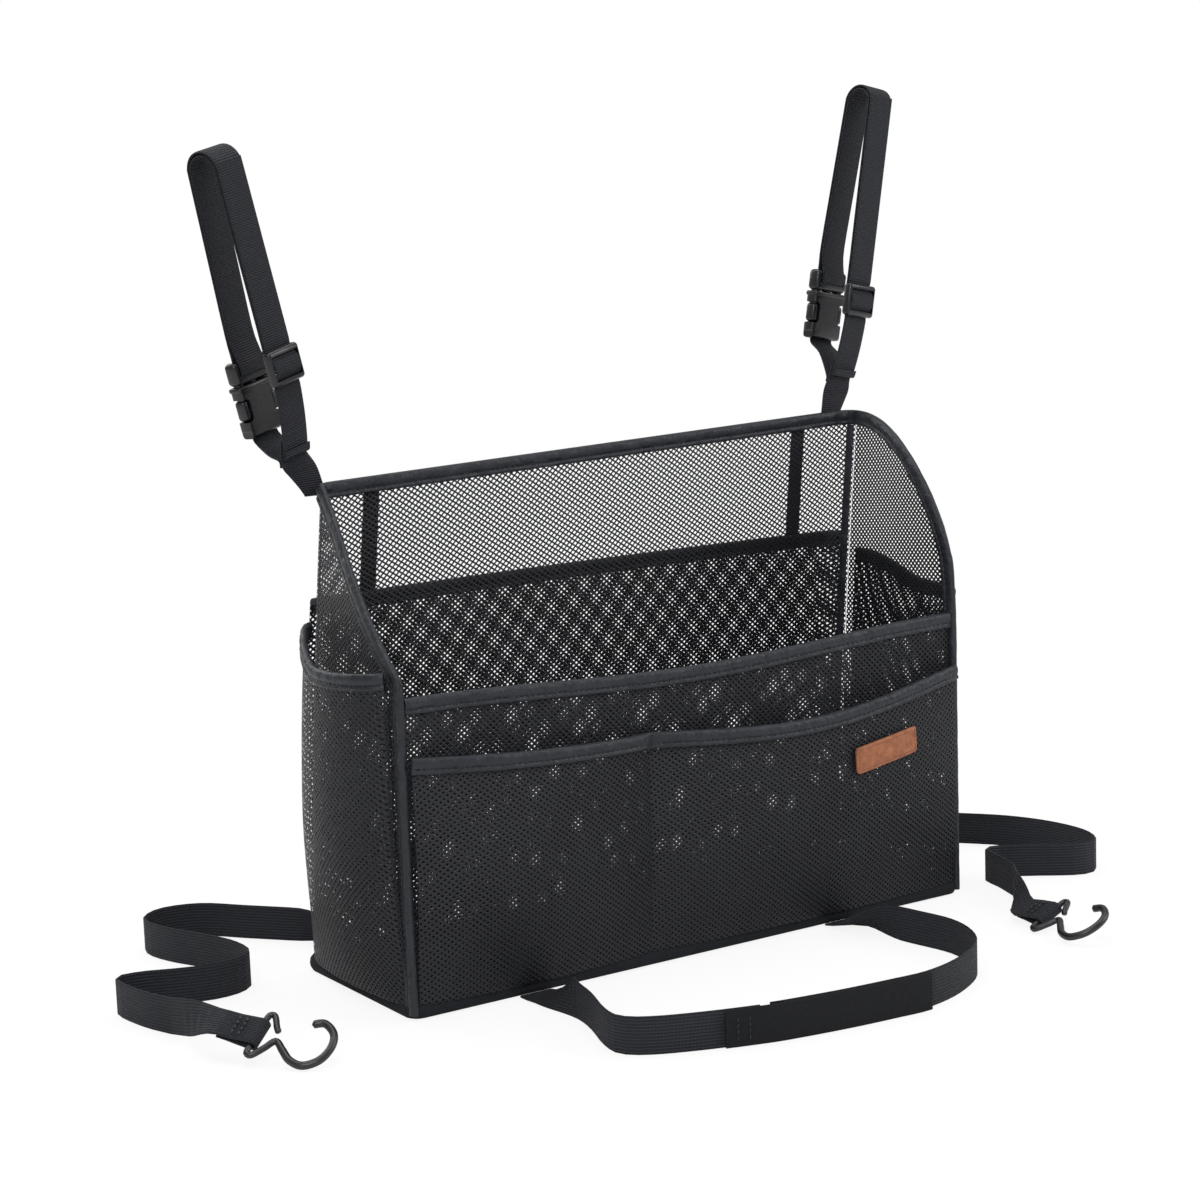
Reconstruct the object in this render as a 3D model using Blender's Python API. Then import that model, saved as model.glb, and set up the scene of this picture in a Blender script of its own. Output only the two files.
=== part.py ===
"""Car seat net pocket: an open-topped mesh bag with net pockets on every side, two buckled
hanger straps, two elastics with wire hooks and a front elastic with a hook-and-loop join.

Metres, +Z up. The origin is at the middle of the underside of the base. X runs along the
bag's width, -Y is the front and +Y the back.
"""
import math

import bmesh
import bpy
from mathutils import Matrix, Vector

# Bag, over the hem that runs round the foot
BAG_WIDTH = 0.380
BAG_DEPTH = 0.126
FRONT_RADIUS = 0.009
BACK_RADIUS = 0.014
BASE_THICKNESS = 0.003
NET = 0.0012
GAP = 0.0003

# Heights of the walls above the floor
BACK_HEIGHT = 0.278
BACK_RISE = 0.012
BACK_LEAN = 0.020
FRONT_CORNER_HEIGHT = 0.172
FRONT_DIP = 0.007
SLOPE_START = 0.180
LEFT_SLOPE_POWER = 1.04
RIGHT_SLOPE_POWER = 2.0

# Front pockets
POCKET_CORNER_HEIGHT = 0.142
POCKET_TACK_HEIGHT = 0.133
POCKET_TACK_X = -0.036
LEFT_POCKET_SAG = 0.001
RIGHT_POCKET_SAG = 0.010
POCKET_BULGE = 0.013

# Side and rear pockets
SIDE_POCKET_HEIGHT = 0.186
SIDE_POCKET_DIP = 0.003
SIDE_POCKET_REAR_LIFT = 0.012
SIDE_POCKET_BULGE = 0.018
REAR_POCKET_HEIGHT = 0.208
REAR_POCKET_BULGE = 0.008
MESH_COLUMNS = 12
MESH_ROWS = 6
MESH_BAR = 0.20  # share of each grid pitch that stays solid
MESH_EDGE = 0.04

# Bindings
HEM_WIDTH = 0.009
HEM_THICKNESS = 0.0044
SLOT_DEPTH = 0.0065
FOOT_HEIGHT = 0.009
FOOT_THICKNESS = 0.006
TAPE_WIDTH = 0.010
TAPE_THICKNESS = 0.0012
TAPE_X = 0.150

# Net of the back wall
NET_COLUMNS = 20
NET_ROWS = 6
NET_STRAND = 0.0034

# Label
LABEL_WIDTH = 0.048
LABEL_HEIGHT = 0.015
LABEL_THICKNESS = 0.0016
LABEL_X = 0.122
LABEL_Z = 0.101

# Hanger straps: foot is where the webbing is folded and sewn, heights run along the strap
WEBBING_WIDTH = 0.020
WEBBING = 0.0014
LAYER_GAP = 0.0005
LOOP_DEPTH = 0.024
BUCKLE_STAND = 0.027
ANCHOR_DROP = 0.022
TWIST_FROM = 0.45  # the anchor turns to face its hanger from here, as a share of its length
TWIST_SPAN = 0.30
HANGERS = {
    "left": {"foot": (-0.169, 0.290), "foot_shift": -0.008, "anchor_x": -0.168, "lean_deg": -13.0,
             "yaw_deg": 20.0, "slider": 0.049, "buckle": 0.042, "top": 0.171},
    "right": {"foot": (0.213, 0.303), "foot_shift": -0.007, "anchor_x": 0.192, "lean_deg": 10.0,
              "yaw_deg": 10.0, "slider": 0.0485, "buckle": 0.053, "top": 0.182},
}
BUCKLE_WIDTH = 0.028
BUCKLE_THICKNESS = 0.0086
BUCKLE_WALL = 0.0014
BODY_LENGTH = 0.030
CAP_LENGTH = 0.013
CAP_SLOT = 0.0044
PRONG_LENGTH = 0.019
PRONG_WIDTH = 0.0046
WINDOW_LENGTH = 0.013
SLIDER_WIDTH = 0.0265
SLIDER_HEIGHT = 0.020
SLIDER_BAR = 0.0030

# Elastics and hooks
ELASTIC_WIDTH = 0.020
ELASTIC = 0.0013
GATHERED_WIDTH = 0.016
FLOOR_CLEARANCE = 0.0004
WIRE = 0.0036
SLEEVE_LENGTH = 0.020
VIEW_DEG = -33.3
TWIST_LENGTH = 0.055

# Hook outline in its own plane: across the bar, then along it
HOOK_RING = [(0, 0), (0, 0.0108), (0.0012, 0.0132), (0.0036, 0.0127), (0.0076, 0.0068), (0.0112, 0.0016)]
HOOK_CURL = [(0.0170, -0.0052), (0.0235, -0.0098), (0.0312, -0.0106), (0.0378, -0.0048),
             (0.0398, 0.0042), (0.0372, 0.0122), (0.0300, 0.0168), (0.0238, 0.0142)]
HOOKS = {
    "left": {"centre": (-0.278, -0.0618), "bar": (0.0096, 0.018, 0.012), "reach": (0.027, 0, 0.002)},
    "right": {"centre": (0.1784, -0.1495), "bar": (0.018, 0.010, 0.010), "reach": (0.008, -0.022, -0.001)},
}
LEFT_SEAM_X = -0.150
LEFT_ROUTE = [(-0.1630, 0.1030), (-0.1881, 0.1337),
              (-0.2071, 0.1560), (-0.2290, 0.1620), (-0.2440, 0.1530), (-0.2474, 0.1390),
              (-0.2430, 0.1196), (-0.2345, 0.1000), (-0.2262, 0.0760), (-0.2262, 0.0540),
              (-0.2365, 0.0430), (-0.2533, 0.0406), (-0.2730, 0.0465), (-0.2900, 0.0535),
              (-0.3030, 0.0540), (-0.3062, 0.0440), (-0.3030, 0.0204), (-0.2970, 0.0020)]
RIGHT_SEAM_X = 0.140
RIGHT_ROUTE = [(0.1530, 0.0990), (0.1800, 0.1030),
               (0.2150, 0.0800), (0.2460, 0.0480), (0.2695, 0.0216), (0.2860, -0.0020), (0.2955, -0.0300),
               (0.2960, -0.0580), (0.2860, -0.0770), (0.2710, -0.0790), (0.2471, -0.0620),
               (0.2290, -0.0500), (0.2190, -0.0520), (0.2150, -0.0680), (0.2085, -0.0880)]
FRONT_SEAM_X = (-0.1140, 0.0940)
FRONT_ROUTE = [(-0.1210, -0.1250),
               (-0.1310, -0.1560), (-0.1322, -0.1720), (-0.1204, -0.1834), (-0.0950, -0.1945),
               (-0.0659, -0.2039), (-0.0500, -0.2075), (-0.0200, -0.2122), (0.0090, -0.2150),
               (0.0329, -0.2160), (0.0600, -0.2090), (0.0860, -0.1940), (0.1000, -0.1755),
               (0.1062, -0.1516), (0.1020, -0.1229)]
FRONT_STEPS = 76
FRONT_JOIN = {"hook_from": 26, "left_to": 29, "loop_from": 31, "right_from": 30, "tape_to": 45}

FOOT_TOP = FOOT_HEIGHT + GAP
WALL_INSET = FOOT_THICKNESS / 2
WALL_X = BAG_WIDTH / 2 - WALL_INSET
WALL_Y = BAG_DEPTH / 2 - WALL_INSET
SLOT = NET + 3 * GAP
SEAM_Y = BAG_DEPTH / 2 - BACK_RADIUS
ARC_SHARE = 0.05
EDGE_DROP = HEM_WIDTH - SLOT_DEPTH + GAP
STRAP_Y = WALL_Y + HEM_THICKNESS / 2 + GAP + WEBBING / 2
SLIDER_BAR_Y = WEBBING / 2 + GAP + SLIDER_BAR / 2
CAP_BAR = 0.0026
LEG_SHARES = (0.3, 0.6, 1.0)
CAP_BAR_Y = -(CAP_BAR / 2 + GAP + WEBBING / 2)
LABEL_RISE = 0.006


def clear_scene():
    for item in list(bpy.data.objects):
        bpy.data.objects.remove(item, do_unlink=True)


def material(name, colour, roughness, metallic=0.0):
    made = bpy.data.materials.new(name)
    made.use_nodes = True
    shader = made.node_tree.nodes["Principled BSDF"]
    shader.inputs["Base Color"].default_value = (*colour, 1.0)
    shader.inputs["Roughness"].default_value = roughness
    shader.inputs["Metallic"].default_value = metallic
    return made


def add_object(name, shape, finish, smooth_angle=None):
    bmesh.ops.recalc_face_normals(shape, faces=shape.faces)
    mesh = bpy.data.meshes.new(name)
    shape.to_mesh(mesh)
    shape.free()
    if smooth_angle:
        mesh.shade_smooth()
        mesh.set_sharp_from_angle(angle=math.radians(smooth_angle))
    item = bpy.data.objects.new(name, mesh)
    item.data.materials.append(finish)
    bpy.context.collection.objects.link(item)
    return item


def mix(low, high, share):
    return low + (high - low) * share


def ease(share):
    share = min(max(share, 0.0), 1.0)
    return share * share * (3 - 2 * share)


def smooth_route(points, count):
    """Evenly spaced points on a smooth curve through hand-set points."""
    knots = [Vector(point) for point in points]
    ends = [2 * knots[0] - knots[1]] + knots + [2 * knots[-1] - knots[-2]]
    fine = []
    for index in range(1, len(ends) - 2):
        before, start, end, after = ends[index - 1:index + 3]
        for step in range(24):
            t = step / 24
            fine.append(0.5 * (2 * start + (end - before) * t
                               + (2 * before - 5 * start + 4 * end - after) * t ** 2
                               + (3 * start - before - 3 * end + after) * t ** 3))
    fine.append(knots[-1])
    lengths = [0.0]
    for first, second in zip(fine, fine[1:]):
        lengths.append(lengths[-1] + (second - first).length)
    spaced = []
    place = 0
    for step in range(count + 1):
        target = lengths[-1] * step / count
        while place < len(lengths) - 2 and lengths[place + 1] < target:
            place += 1
        span = lengths[place + 1] - lengths[place]
        spaced.append(fine[place].lerp(fine[place + 1], (target - lengths[place]) / span))
    return spaced


def directions(points):
    found = []
    for index, point in enumerate(points):
        before = points[max(index - 1, 0)]
        after = points[min(index + 1, len(points) - 1)]
        found.append((after - before).normalized())
    return found


def sweep(name, section, stations, finish, closed=False, smooth_angle=None):
    """Carry a closed section, given as (along first, along second), through stations."""
    shape = bmesh.new()
    rings = []
    for place, first, second in stations:
        rings.append([shape.verts.new(place + first * a + second * b) for a, b in section])
    pairs = list(zip(rings, rings[1:]))
    if closed:
        pairs.append((rings[-1], rings[0]))
    sides = len(section)
    for low, high in pairs:
        for index in range(sides):
            after = (index + 1) % sides
            shape.faces.new((low[index], low[after], high[after], high[index]))
    if not closed:
        shape.faces.new(rings[0])
        shape.faces.new(rings[-1])
    return add_object(name, shape, finish, smooth_angle)


def even(count):
    return [step / count for step in range(count + 1)]


def sheet(name, point_at, across_shares, up_shares, finish, thickness=NET, open_cells=()):
    """A closed wall of even thickness round the surface point_at(u, v), with some cells left open."""
    shape = bmesh.new()
    across = len(across_shares) - 1
    up = len(up_shares) - 1
    grid = [[point_at(u, v) for u in across_shares] for v in up_shares]

    def normal(i, j):
        along = grid[j][min(i + 1, across)] - grid[j][max(i - 1, 0)]
        rise = grid[min(j + 1, up)][i] - grid[max(j - 1, 0)][i]
        return along.cross(rise).normalized()

    layers = []
    for offset in (-thickness / 2, thickness / 2):
        layers.append([[shape.verts.new(grid[j][i] + normal(i, j) * offset) for i in range(across + 1)]
                       for j in range(up + 1)])
    for layer in layers:
        for j in range(up):
            for i in range(across):
                if (i, j) not in open_cells:
                    shape.faces.new((layer[j][i], layer[j][i + 1], layer[j + 1][i + 1], layer[j + 1][i]))
    near, far = layers
    rim = [(0, i) for i in range(across)] + [(j, across) for j in range(up)]
    rim += [(up, i) for i in range(across, 0, -1)] + [(j, 0) for j in range(up, 0, -1)]
    rims = [rim] + [[(j, i), (j + 1, i), (j + 1, i + 1), (j, i + 1)] for i, j in open_cells]
    for rim in rims:
        for here, there in zip(rim, rim[1:] + rim[:1]):
            shape.faces.new((near[here[0]][here[1]], near[there[0]][there[1]],
                             far[there[0]][there[1]], far[here[0]][here[1]]))
    return add_object(name, shape, finish, 30)


def lean_at(y, z):
    """Sideways lean of the soft bag: none at the front corners, all of it at the back."""
    stiff_front = 2 * HEM_WIDTH
    share = ease((y + BAG_DEPTH / 2 - stiff_front / 2) / (BAG_DEPTH - stiff_front / 2))
    return BACK_LEAN * max(z / BACK_HEIGHT, 0.0) ** 1.5 * share


def leaned(x, y, z):
    return Vector((x + lean_at(y, z), y, z))


def along_wall(place, dy, dz):
    """Direction in a leaning wall's surface for a short move in y and z."""
    reach = 0.003
    shift = lean_at(place.y + dy * reach, place.z + dz * reach) - lean_at(place.y, place.z)
    return Vector((shift / reach, dy, dz)).normalized()


def back_top(x):
    return BACK_HEIGHT + BACK_RISE * x / BAG_WIDTH


def side_top(side, y):
    """Height of a side wall's upper edge, which falls from the back to the front corner."""
    start_y = -BAG_DEPTH / 2
    share = min(max((y - start_y) / (SEAM_Y - start_y), 0.0), 1.0)
    power = LEFT_SLOPE_POWER if side < 0 else RIGHT_SLOPE_POWER
    rise = back_top(side * WALL_X) - SLOPE_START
    return SLOPE_START + rise * (1 - (1 - share) ** power) ** (1 / power)


def front_top(x):
    return FRONT_CORNER_HEIGHT - FRONT_DIP * math.cos(math.pi * x / (2 * WALL_X)) ** 2


def pocket_top(x):
    """Height of the front pockets' mouth: two shallow sags on either side of the tack."""
    if x < POCKET_TACK_X:
        share = (x + WALL_X) / (POCKET_TACK_X + WALL_X)
        line = mix(POCKET_CORNER_HEIGHT, POCKET_TACK_HEIGHT, share)
        return line - LEFT_POCKET_SAG * math.sin(math.pi * share)
    share = (x - POCKET_TACK_X) / (WALL_X - POCKET_TACK_X)
    line = mix(POCKET_TACK_HEIGHT, POCKET_CORNER_HEIGHT, share)
    return line - RIGHT_POCKET_SAG * math.sin(math.pi * share) ** 1.2


def pocket_bulge(x, height_share):
    """How far the front pocket net stands out from its flat line."""
    if x < POCKET_TACK_X:
        share = (x + WALL_X) / (POCKET_TACK_X + WALL_X)
    else:
        share = (x - POCKET_TACK_X) / (WALL_X - POCKET_TACK_X)
    across = math.sin(math.pi * min(max(share, 0.0), 1.0)) ** 0.8
    return POCKET_BULGE * across * math.sin(math.pi * (0.06 + 0.74 * height_share)) ** 0.7


def side_pocket_top(y):
    share = (y + WALL_Y) / (SEAM_Y + WALL_Y)
    return (SIDE_POCKET_HEIGHT - SIDE_POCKET_DIP * math.sin(math.pi * min(share, 1.0))
            + SIDE_POCKET_REAR_LIFT * ease(2 * share - 1))


def u_section():
    """A folded binding: closed edge at zero, slot opening along the first direction."""
    half = HEM_THICKNESS / 2
    slot = SLOT / 2
    floor = HEM_WIDTH - SLOT_DEPTH
    soft = 0.001
    return [(0, -half + soft), (soft, -half), (HEM_WIDTH, -half), (HEM_WIDTH, -slot),
            (floor, -slot), (floor, slot), (HEM_WIDTH, slot), (HEM_WIDTH, half),
            (soft, half), (0, half - soft)]


def hem(name, point_at, across_shares, up, finish):
    """Binding whose slot takes the upper edge of the wall point_at(u, v)."""
    stations = []
    edge = [point_at(u, 1) for u in across_shares]
    for u, place, way in zip(across_shares, edge, directions(edge)):
        down = point_at(u, 1 - 1 / up) - place
        facing = (down - way * way.dot(down)).normalized()
        closed_edge = place - facing * (HEM_WIDTH - SLOT_DEPTH + GAP)
        stations.append((closed_edge, facing, way.cross(facing).normalized()))
    return sweep(name, u_section(), stations, finish, smooth_angle=40)


def plan_loop(inset, turns=4):
    """Rounded outline of the foot, seen from above, as points with their outward directions."""
    loop = []
    corners = (((BAG_WIDTH / 2, -BAG_DEPTH / 2), FRONT_RADIUS, -90),
               ((BAG_WIDTH / 2, BAG_DEPTH / 2), BACK_RADIUS, 0),
               ((-BAG_WIDTH / 2, BAG_DEPTH / 2), BACK_RADIUS, 90),
               ((-BAG_WIDTH / 2, -BAG_DEPTH / 2), FRONT_RADIUS, 180))
    for (x, y), radius, start in corners:
        centre = Vector((x - math.copysign(radius, x), y - math.copysign(radius, y), 0))
        for step in range(turns + 1):
            angle = math.radians(start + 90 * step / turns)
            out = Vector((math.cos(angle), math.sin(angle), 0))
            loop.append((centre + out * (radius - inset), out))
    return loop


def back_plan(share, inset=WALL_INSET):
    """Point at a share of the back wall's plan line, from the left seam to the right seam."""
    radius = BACK_RADIUS - inset
    straight = BAG_WIDTH - 2 * BACK_RADIUS
    if share < ARC_SHARE:
        angle = math.pi * (1 - share / ARC_SHARE / 2)
        centre_x = -straight / 2
    elif share > 1 - ARC_SHARE:
        angle = math.pi * (1 - share) / ARC_SHARE / 2
        centre_x = straight / 2
    else:
        return straight * ((share - ARC_SHARE) / (1 - 2 * ARC_SHARE) - 0.5), SEAM_Y + radius
    return centre_x + radius * math.cos(angle), SEAM_Y + radius * math.sin(angle)


def back_shares(straight_steps):
    """Shares along the back wall's plan line: four steps round each corner, even between."""
    turn = [ARC_SHARE * step / 4 for step in range(4)]
    middle = [mix(ARC_SHARE, 1 - ARC_SHARE, step / straight_steps) for step in range(straight_steps + 1)]
    return turn + middle + [1 - share for share in reversed(turn)]


def make_base(finish, trim):
    outline = [(place.x, place.y) for place, _ in plan_loop(FOOT_THICKNESS + GAP)]
    up = Vector((0, 0, 1))
    ends = [(up * height, Vector((1, 0, 0)), Vector((0, 1, 0))) for height in (0, BASE_THICKNESS)]
    sweep("base_board", outline, ends, finish)
    soft = 0.0012
    section = [(0, soft), (soft, 0), (FOOT_THICKNESS, 0), (FOOT_THICKNESS, FOOT_HEIGHT), (0, FOOT_HEIGHT)]
    stations = [(place, -out, Vector((0, 0, 1))) for place, out in plan_loop(0)]
    sweep("foot_binding", section, stations, trim, closed=True, smooth_angle=40)


def back_seam(share):
    """Share of the back plan line, pulled in so that the wall clears both side walls."""
    return mix(0.0015, 0.9985, share)


def make_back_wall(finish):
    """Back wall: solid below the rear pocket's mouth, an open diamond net above it."""
    solid_rows = 3
    net_start = REAR_POCKET_HEIGHT + 0.004
    shape = bmesh.new()

    def place(u, v, side):
        top = back_top(back_plan(back_seam(u))[0]) - EDGE_DROP
        z = mix(net_start, top, v) if v >= 0 else mix(FOOT_TOP, net_start, 1 + v)
        inner = back_plan(back_seam(u), WALL_INSET + NET / 2)
        outer = back_plan(back_seam(u), WALL_INSET - NET / 2)
        spot = outer if side else inner
        return leaned(spot[0], spot[1], z)

    def net_height(row):
        margin = 0.16
        return mix(margin, 1 - margin, row / NET_ROWS)

    points = {}

    def corner(u, v, side):
        key = (round(u * 1e6), round(v * 1e6), side)
        if key not in points:
            points[key] = shape.verts.new(place(u, v, side))
        return points[key]

    def both(outline):
        for side in (0, 1):
            ring = [corner(u, v, side) for u, v in outline]
            shape.faces.new(ring if side else ring[::-1])

    half_steps = 2 * NET_COLUMNS + 1
    grid = back_shares(half_steps - 8)
    rows = [-1 + index / solid_rows for index in range(solid_rows + 1)]
    for low, high in zip(rows, rows[1:]):
        for left, right in zip(grid, grid[1:]):
            both([(left, low), (right, low), (right, high), (left, high)])
    for low, high in ((0, net_height(0)), (net_height(NET_ROWS), 1)):
        for left, right in zip(grid, grid[1:]):
            both([(left, low), (right, low), (right, high), (left, high)])
    for row in range(NET_ROWS):
        low = net_height(row)
        high = net_height(row + 1)
        first = row % 2
        spare = half_steps - 1 if first == 0 else 0
        both([(grid[spare], low), (grid[spare + 1], low), (grid[spare + 1], high), (grid[spare], high)])
        for column in range(NET_COLUMNS):
            left, middle, right = grid[first + 2 * column:first + 2 * column + 3]
            width = (right - left) * BAG_WIDTH
            height = (high - low) * (back_top(0) - net_start)
            inset_u = NET_STRAND / width * (right - left)
            inset_v = NET_STRAND / 2 / height * (high - low)
            west = (left + inset_u, (low + high) / 2)
            east = (right - inset_u, (low + high) / 2)
            south = (middle, low + inset_v)
            north = (middle, high - inset_v)
            both([(left, low), (middle, low), south, west])
            both([(middle, low), (right, low), east, south])
            both([(right, low), (right, high), east])
            both([(right, high), (middle, high), north, east])
            both([(middle, high), (left, high), west, north])
            both([(left, high), (left, low), west])
            hole = [west, south, east, north]
            for here, there in zip(hole, hole[1:] + hole[:1]):
                shape.faces.new((corner(*here, 0), corner(*there, 0), corner(*there, 1), corner(*here, 1)))
    border = [edge for edge in shape.edges if len(edge.link_faces) == 1]
    bmesh.ops.bridge_loops(shape, edges=border)
    add_object("back_net_wall", shape, finish)


def make_top_binding(finish):
    def point_at(u, v):
        x, y = back_plan(back_seam(u))
        return leaned(x, y, mix(FOOT_TOP, back_top(x) - EDGE_DROP, v))

    hem("top_binding", point_at, back_shares(24), 12, finish)


def make_side_wall(name, side, finish):
    front = -BAG_DEPTH / 2 + HEM_WIDTH - SLOT_DEPTH + 4 * GAP
    back = SEAM_Y - GAP

    def point_at(u, v):
        y = mix(front, back, u)
        top = side_top(side, y) - edge_drop(side, y)
        return leaned(side * WALL_X, y, mix(FOOT_TOP, top, v))

    sheet(name, point_at, even(18), even(6), finish)


def edge_drop(side, y):
    """How far below its edge line a side wall stops inside the binding."""
    corner = 0.008 * max(0.0, 1 - (y + BAG_DEPTH / 2) / 0.030)
    return (EDGE_DROP + 3 * GAP) * math.sqrt(1 + slope_at(side, y) ** 2) + corner


def slope_at(side, y):
    step = 0.0005
    near = max(y - step, -BAG_DEPTH / 2 + step)
    return min((side_top(side, near + step) - side_top(side, near)) / step, 4.0)


def make_edge_binding(name, side, finish):
    """Binding up the front corner and along the falling upper edge of a side wall."""
    line = [Vector((0, -BAG_DEPTH / 2, mix(FOOT_TOP, SLOPE_START - 0.012, step / 6))) for step in range(7)]
    ends = 20
    for step in range(1, ends + 1):
        share = (step / ends) ** 1.4
        y = mix(-BAG_DEPTH / 2, SEAM_Y, share)
        line.append(Vector((0, y, side_top(side, y))))
    smooth = smooth_route(line, 30)
    stations = []
    for point, way in zip(smooth, directions(smooth)):
        place = leaned(side * WALL_X, point.y, point.z)
        inward = along_wall(place, way.z, -way.y)
        stations.append((place, inward, along_wall(place, way.y, way.z).cross(inward).normalized()))
    place, _, normal = stations[-1]
    mitre = along_wall(place, 0, -1) / directions(smooth)[-1].y
    stations[-1] = (place - Vector((0, GAP, 0)), mitre, normal)
    sweep(name, u_section(), stations, finish, smooth_angle=40)


def make_front_wall(finish, trim):
    end = WALL_X - HEM_THICKNESS / 2 - GAP

    def point_at(u, v):
        x = mix(-end, end, u)
        return Vector((x, -WALL_Y, mix(FOOT_TOP, front_top(x) - EDGE_DROP, v)))

    sheet("front_wall_net", point_at, even(16), even(4), finish)
    hem("front_wall_binding", point_at, even(16), 4, trim)


def pocket_y(x, height_share):
    flat = -WALL_Y - HEM_THICKNESS - GAP
    base = -WALL_Y - NET - 2 * GAP
    return mix(base, flat, ease(2 * height_share)) - pocket_bulge(x, height_share)


def make_front_pocket(finish, trim):
    end = WALL_X - HEM_THICKNESS / 2 - GAP
    columns = 26

    def column_x(u):
        """Columns crowd towards the tack, where the net is pulled in."""
        tack = 9 / columns
        if u < tack:
            return mix(-end, POCKET_TACK_X, math.sin(u / tack * math.pi / 2) ** 0.9)
        return mix(POCKET_TACK_X, end, 1 - math.cos((u - tack) / (1 - tack) * math.pi / 2))

    def point_at(u, v):
        x = column_x(u)
        return Vector((x, pocket_y(x, v), mix(FOOT_TOP, pocket_top(x) - EDGE_DROP, v)))

    sheet("front_pocket_net", point_at, even(columns), even(7), finish)
    hem("front_pocket_binding", point_at, even(columns), 7, trim)


def side_pocket_x(side, y, height_share):
    share = min(max((y + WALL_Y) / (SEAM_Y + WALL_Y), 0.0), 1.0)
    across = math.sin(math.pi * share) ** 0.55
    up = math.sin(math.pi * (0.05 + 0.62 * height_share)) ** 0.5
    stand = NET + GAP + (HEM_THICKNESS - NET + GAP) * ease(2 * height_share)
    return side * (WALL_X + stand + SIDE_POCKET_BULGE * across * up)


def make_side_pocket(name, side, finish, trim):
    front = -BAG_DEPTH / 2 + HEM_WIDTH + GAP
    back = SEAM_Y - GAP

    def column_y(u):
        return mix(front, back, (1 - math.cos(math.pi * u)) / 2)

    def point_at(u, v):
        y = column_y(u)
        z = mix(FOOT_TOP, side_pocket_top(y) - EDGE_DROP, v)
        return leaned(side_pocket_x(side, y, v), y, z)

    sheet(name + "_net", point_at, even(14), even(8), finish)
    hem(name + "_binding", point_at, even(14), 8, trim)


def rear_pocket_inset(share, height_share):
    across = math.sin(math.pi * share) ** 0.5
    stand = NET + GAP + (HEM_THICKNESS - NET + GAP) * ease(2 * height_share)
    return WALL_INSET - stand - REAR_POCKET_BULGE * across * math.sin(math.pi * (0.05 + 0.6 * height_share))


def make_rear_pocket(finish, trim):

    def spot(u, height_share, z):
        share = back_seam(u)
        x, y = back_plan(share, rear_pocket_inset(share, height_share))
        return leaned(x, y, z)

    def point_at(u, v):
        return spot(u, v, mix(FOOT_TOP, REAR_POCKET_HEIGHT - EDGE_DROP, v))

    corner = back_shares(1)[:5]
    columns = list(corner)
    rows = [0.0, MESH_EDGE]
    for shares, count in ((columns, MESH_COLUMNS), (rows, MESH_ROWS)):
        low = shares[-1]
        pitch = (1 - 2 * low) / count
        for step in range(count):
            shares += [low + pitch * (step + MESH_BAR / 2), low + pitch * (step + 1 - MESH_BAR / 2)]
    columns += [1 - share for share in reversed(corner)]
    rows += [1 - MESH_EDGE, 1.0]
    cells = [(len(corner) + 2 * i, 2 + 2 * j) for i in range(MESH_COLUMNS) for j in range(MESH_ROWS)]
    sheet("rear_pocket_net", point_at, columns, rows, finish, NET, cells)
    hem("rear_pocket_binding", point_at, back_shares(18), 6, trim)


def block(size, centre=(0, 0, 0), soft=0.0):
    """A box with softened edges, as a temporary object for joining or cutting."""
    shape = bmesh.new()
    bmesh.ops.create_cube(shape, size=1.0, matrix=Matrix.Diagonal((*size, 1)))
    if soft:
        bmesh.ops.bevel(shape, geom=shape.edges[:], offset=soft, segments=1, affect="EDGES")
    bmesh.ops.translate(shape, verts=shape.verts, vec=centre)
    mesh = bpy.data.meshes.new("block")
    shape.to_mesh(mesh)
    shape.free()
    item = bpy.data.objects.new("block", mesh)
    bpy.context.collection.objects.link(item)
    return item


def combine(name, start, steps, finish, place=Matrix.Identity(4)):
    """Join blocks to a first block or cut them from it, then set the piece in its place."""
    for operation, other in steps:
        modifier = start.modifiers.new(operation, "BOOLEAN")
        modifier.operation = operation
        modifier.solver = "EXACT"
        modifier.object = other
    bpy.context.view_layer.update()
    graph = bpy.context.evaluated_depsgraph_get()
    mesh = bpy.data.meshes.new_from_object(start.evaluated_get(graph))
    mesh.name = name
    mesh.materials.clear()
    mesh.materials.append(finish)
    for _, other in steps:
        bpy.data.objects.remove(other, do_unlink=True)
    bpy.data.objects.remove(start, do_unlink=True)
    item = bpy.data.objects.new(name, mesh)
    item.matrix_world = place
    bpy.context.collection.objects.link(item)
    return item


def strip_section(thickness):
    half = thickness / 2
    return [(-0.5, -half), (0.5, -half), (0.5, half), (-0.5, half)]


def strip(name, points, widths, thickness, finish):
    """A flat strap through points. Each width is a vector across the strap."""
    stations = []
    for place, way, width in zip(points, directions(points), widths):
        stations.append((place, width, way.cross(width).normalized()))
    return sweep(name, strip_section(thickness), stations, finish, smooth_angle=35)


def hanger_frame(side):
    """Matrix of a hanger: local Z runs up the strap, X across it, Y towards the back."""
    spec = HANGERS[side]
    x, z = spec["foot"]
    yaw = math.radians(spec["yaw_deg"])
    turn = Matrix.Rotation(math.radians(spec["lean_deg"]), 4, "Y") @ Matrix.Rotation(yaw, 4, "Z")
    return Matrix.Translation((x, STRAP_Y - spec["foot_shift"] * math.sin(yaw), z)) @ turn


def arc_points(centre_y, centre_z, radius, start_deg, end_deg, steps):
    found = []
    for step in range(steps + 1):
        angle = math.radians(mix(start_deg, end_deg, step / steps))
        found.append((centre_y + radius * math.cos(angle), centre_z + radius * math.sin(angle)))
    return found


def foot_offset(spec, y, z):
    """Sideways shift of the webbing below the slider, where the strap bends to its seam."""
    if y > WEBBING or z > spec["slider"]:
        return 0.0
    return spec["foot_shift"] * (1 - z / spec["slider"]) ** 2


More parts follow.
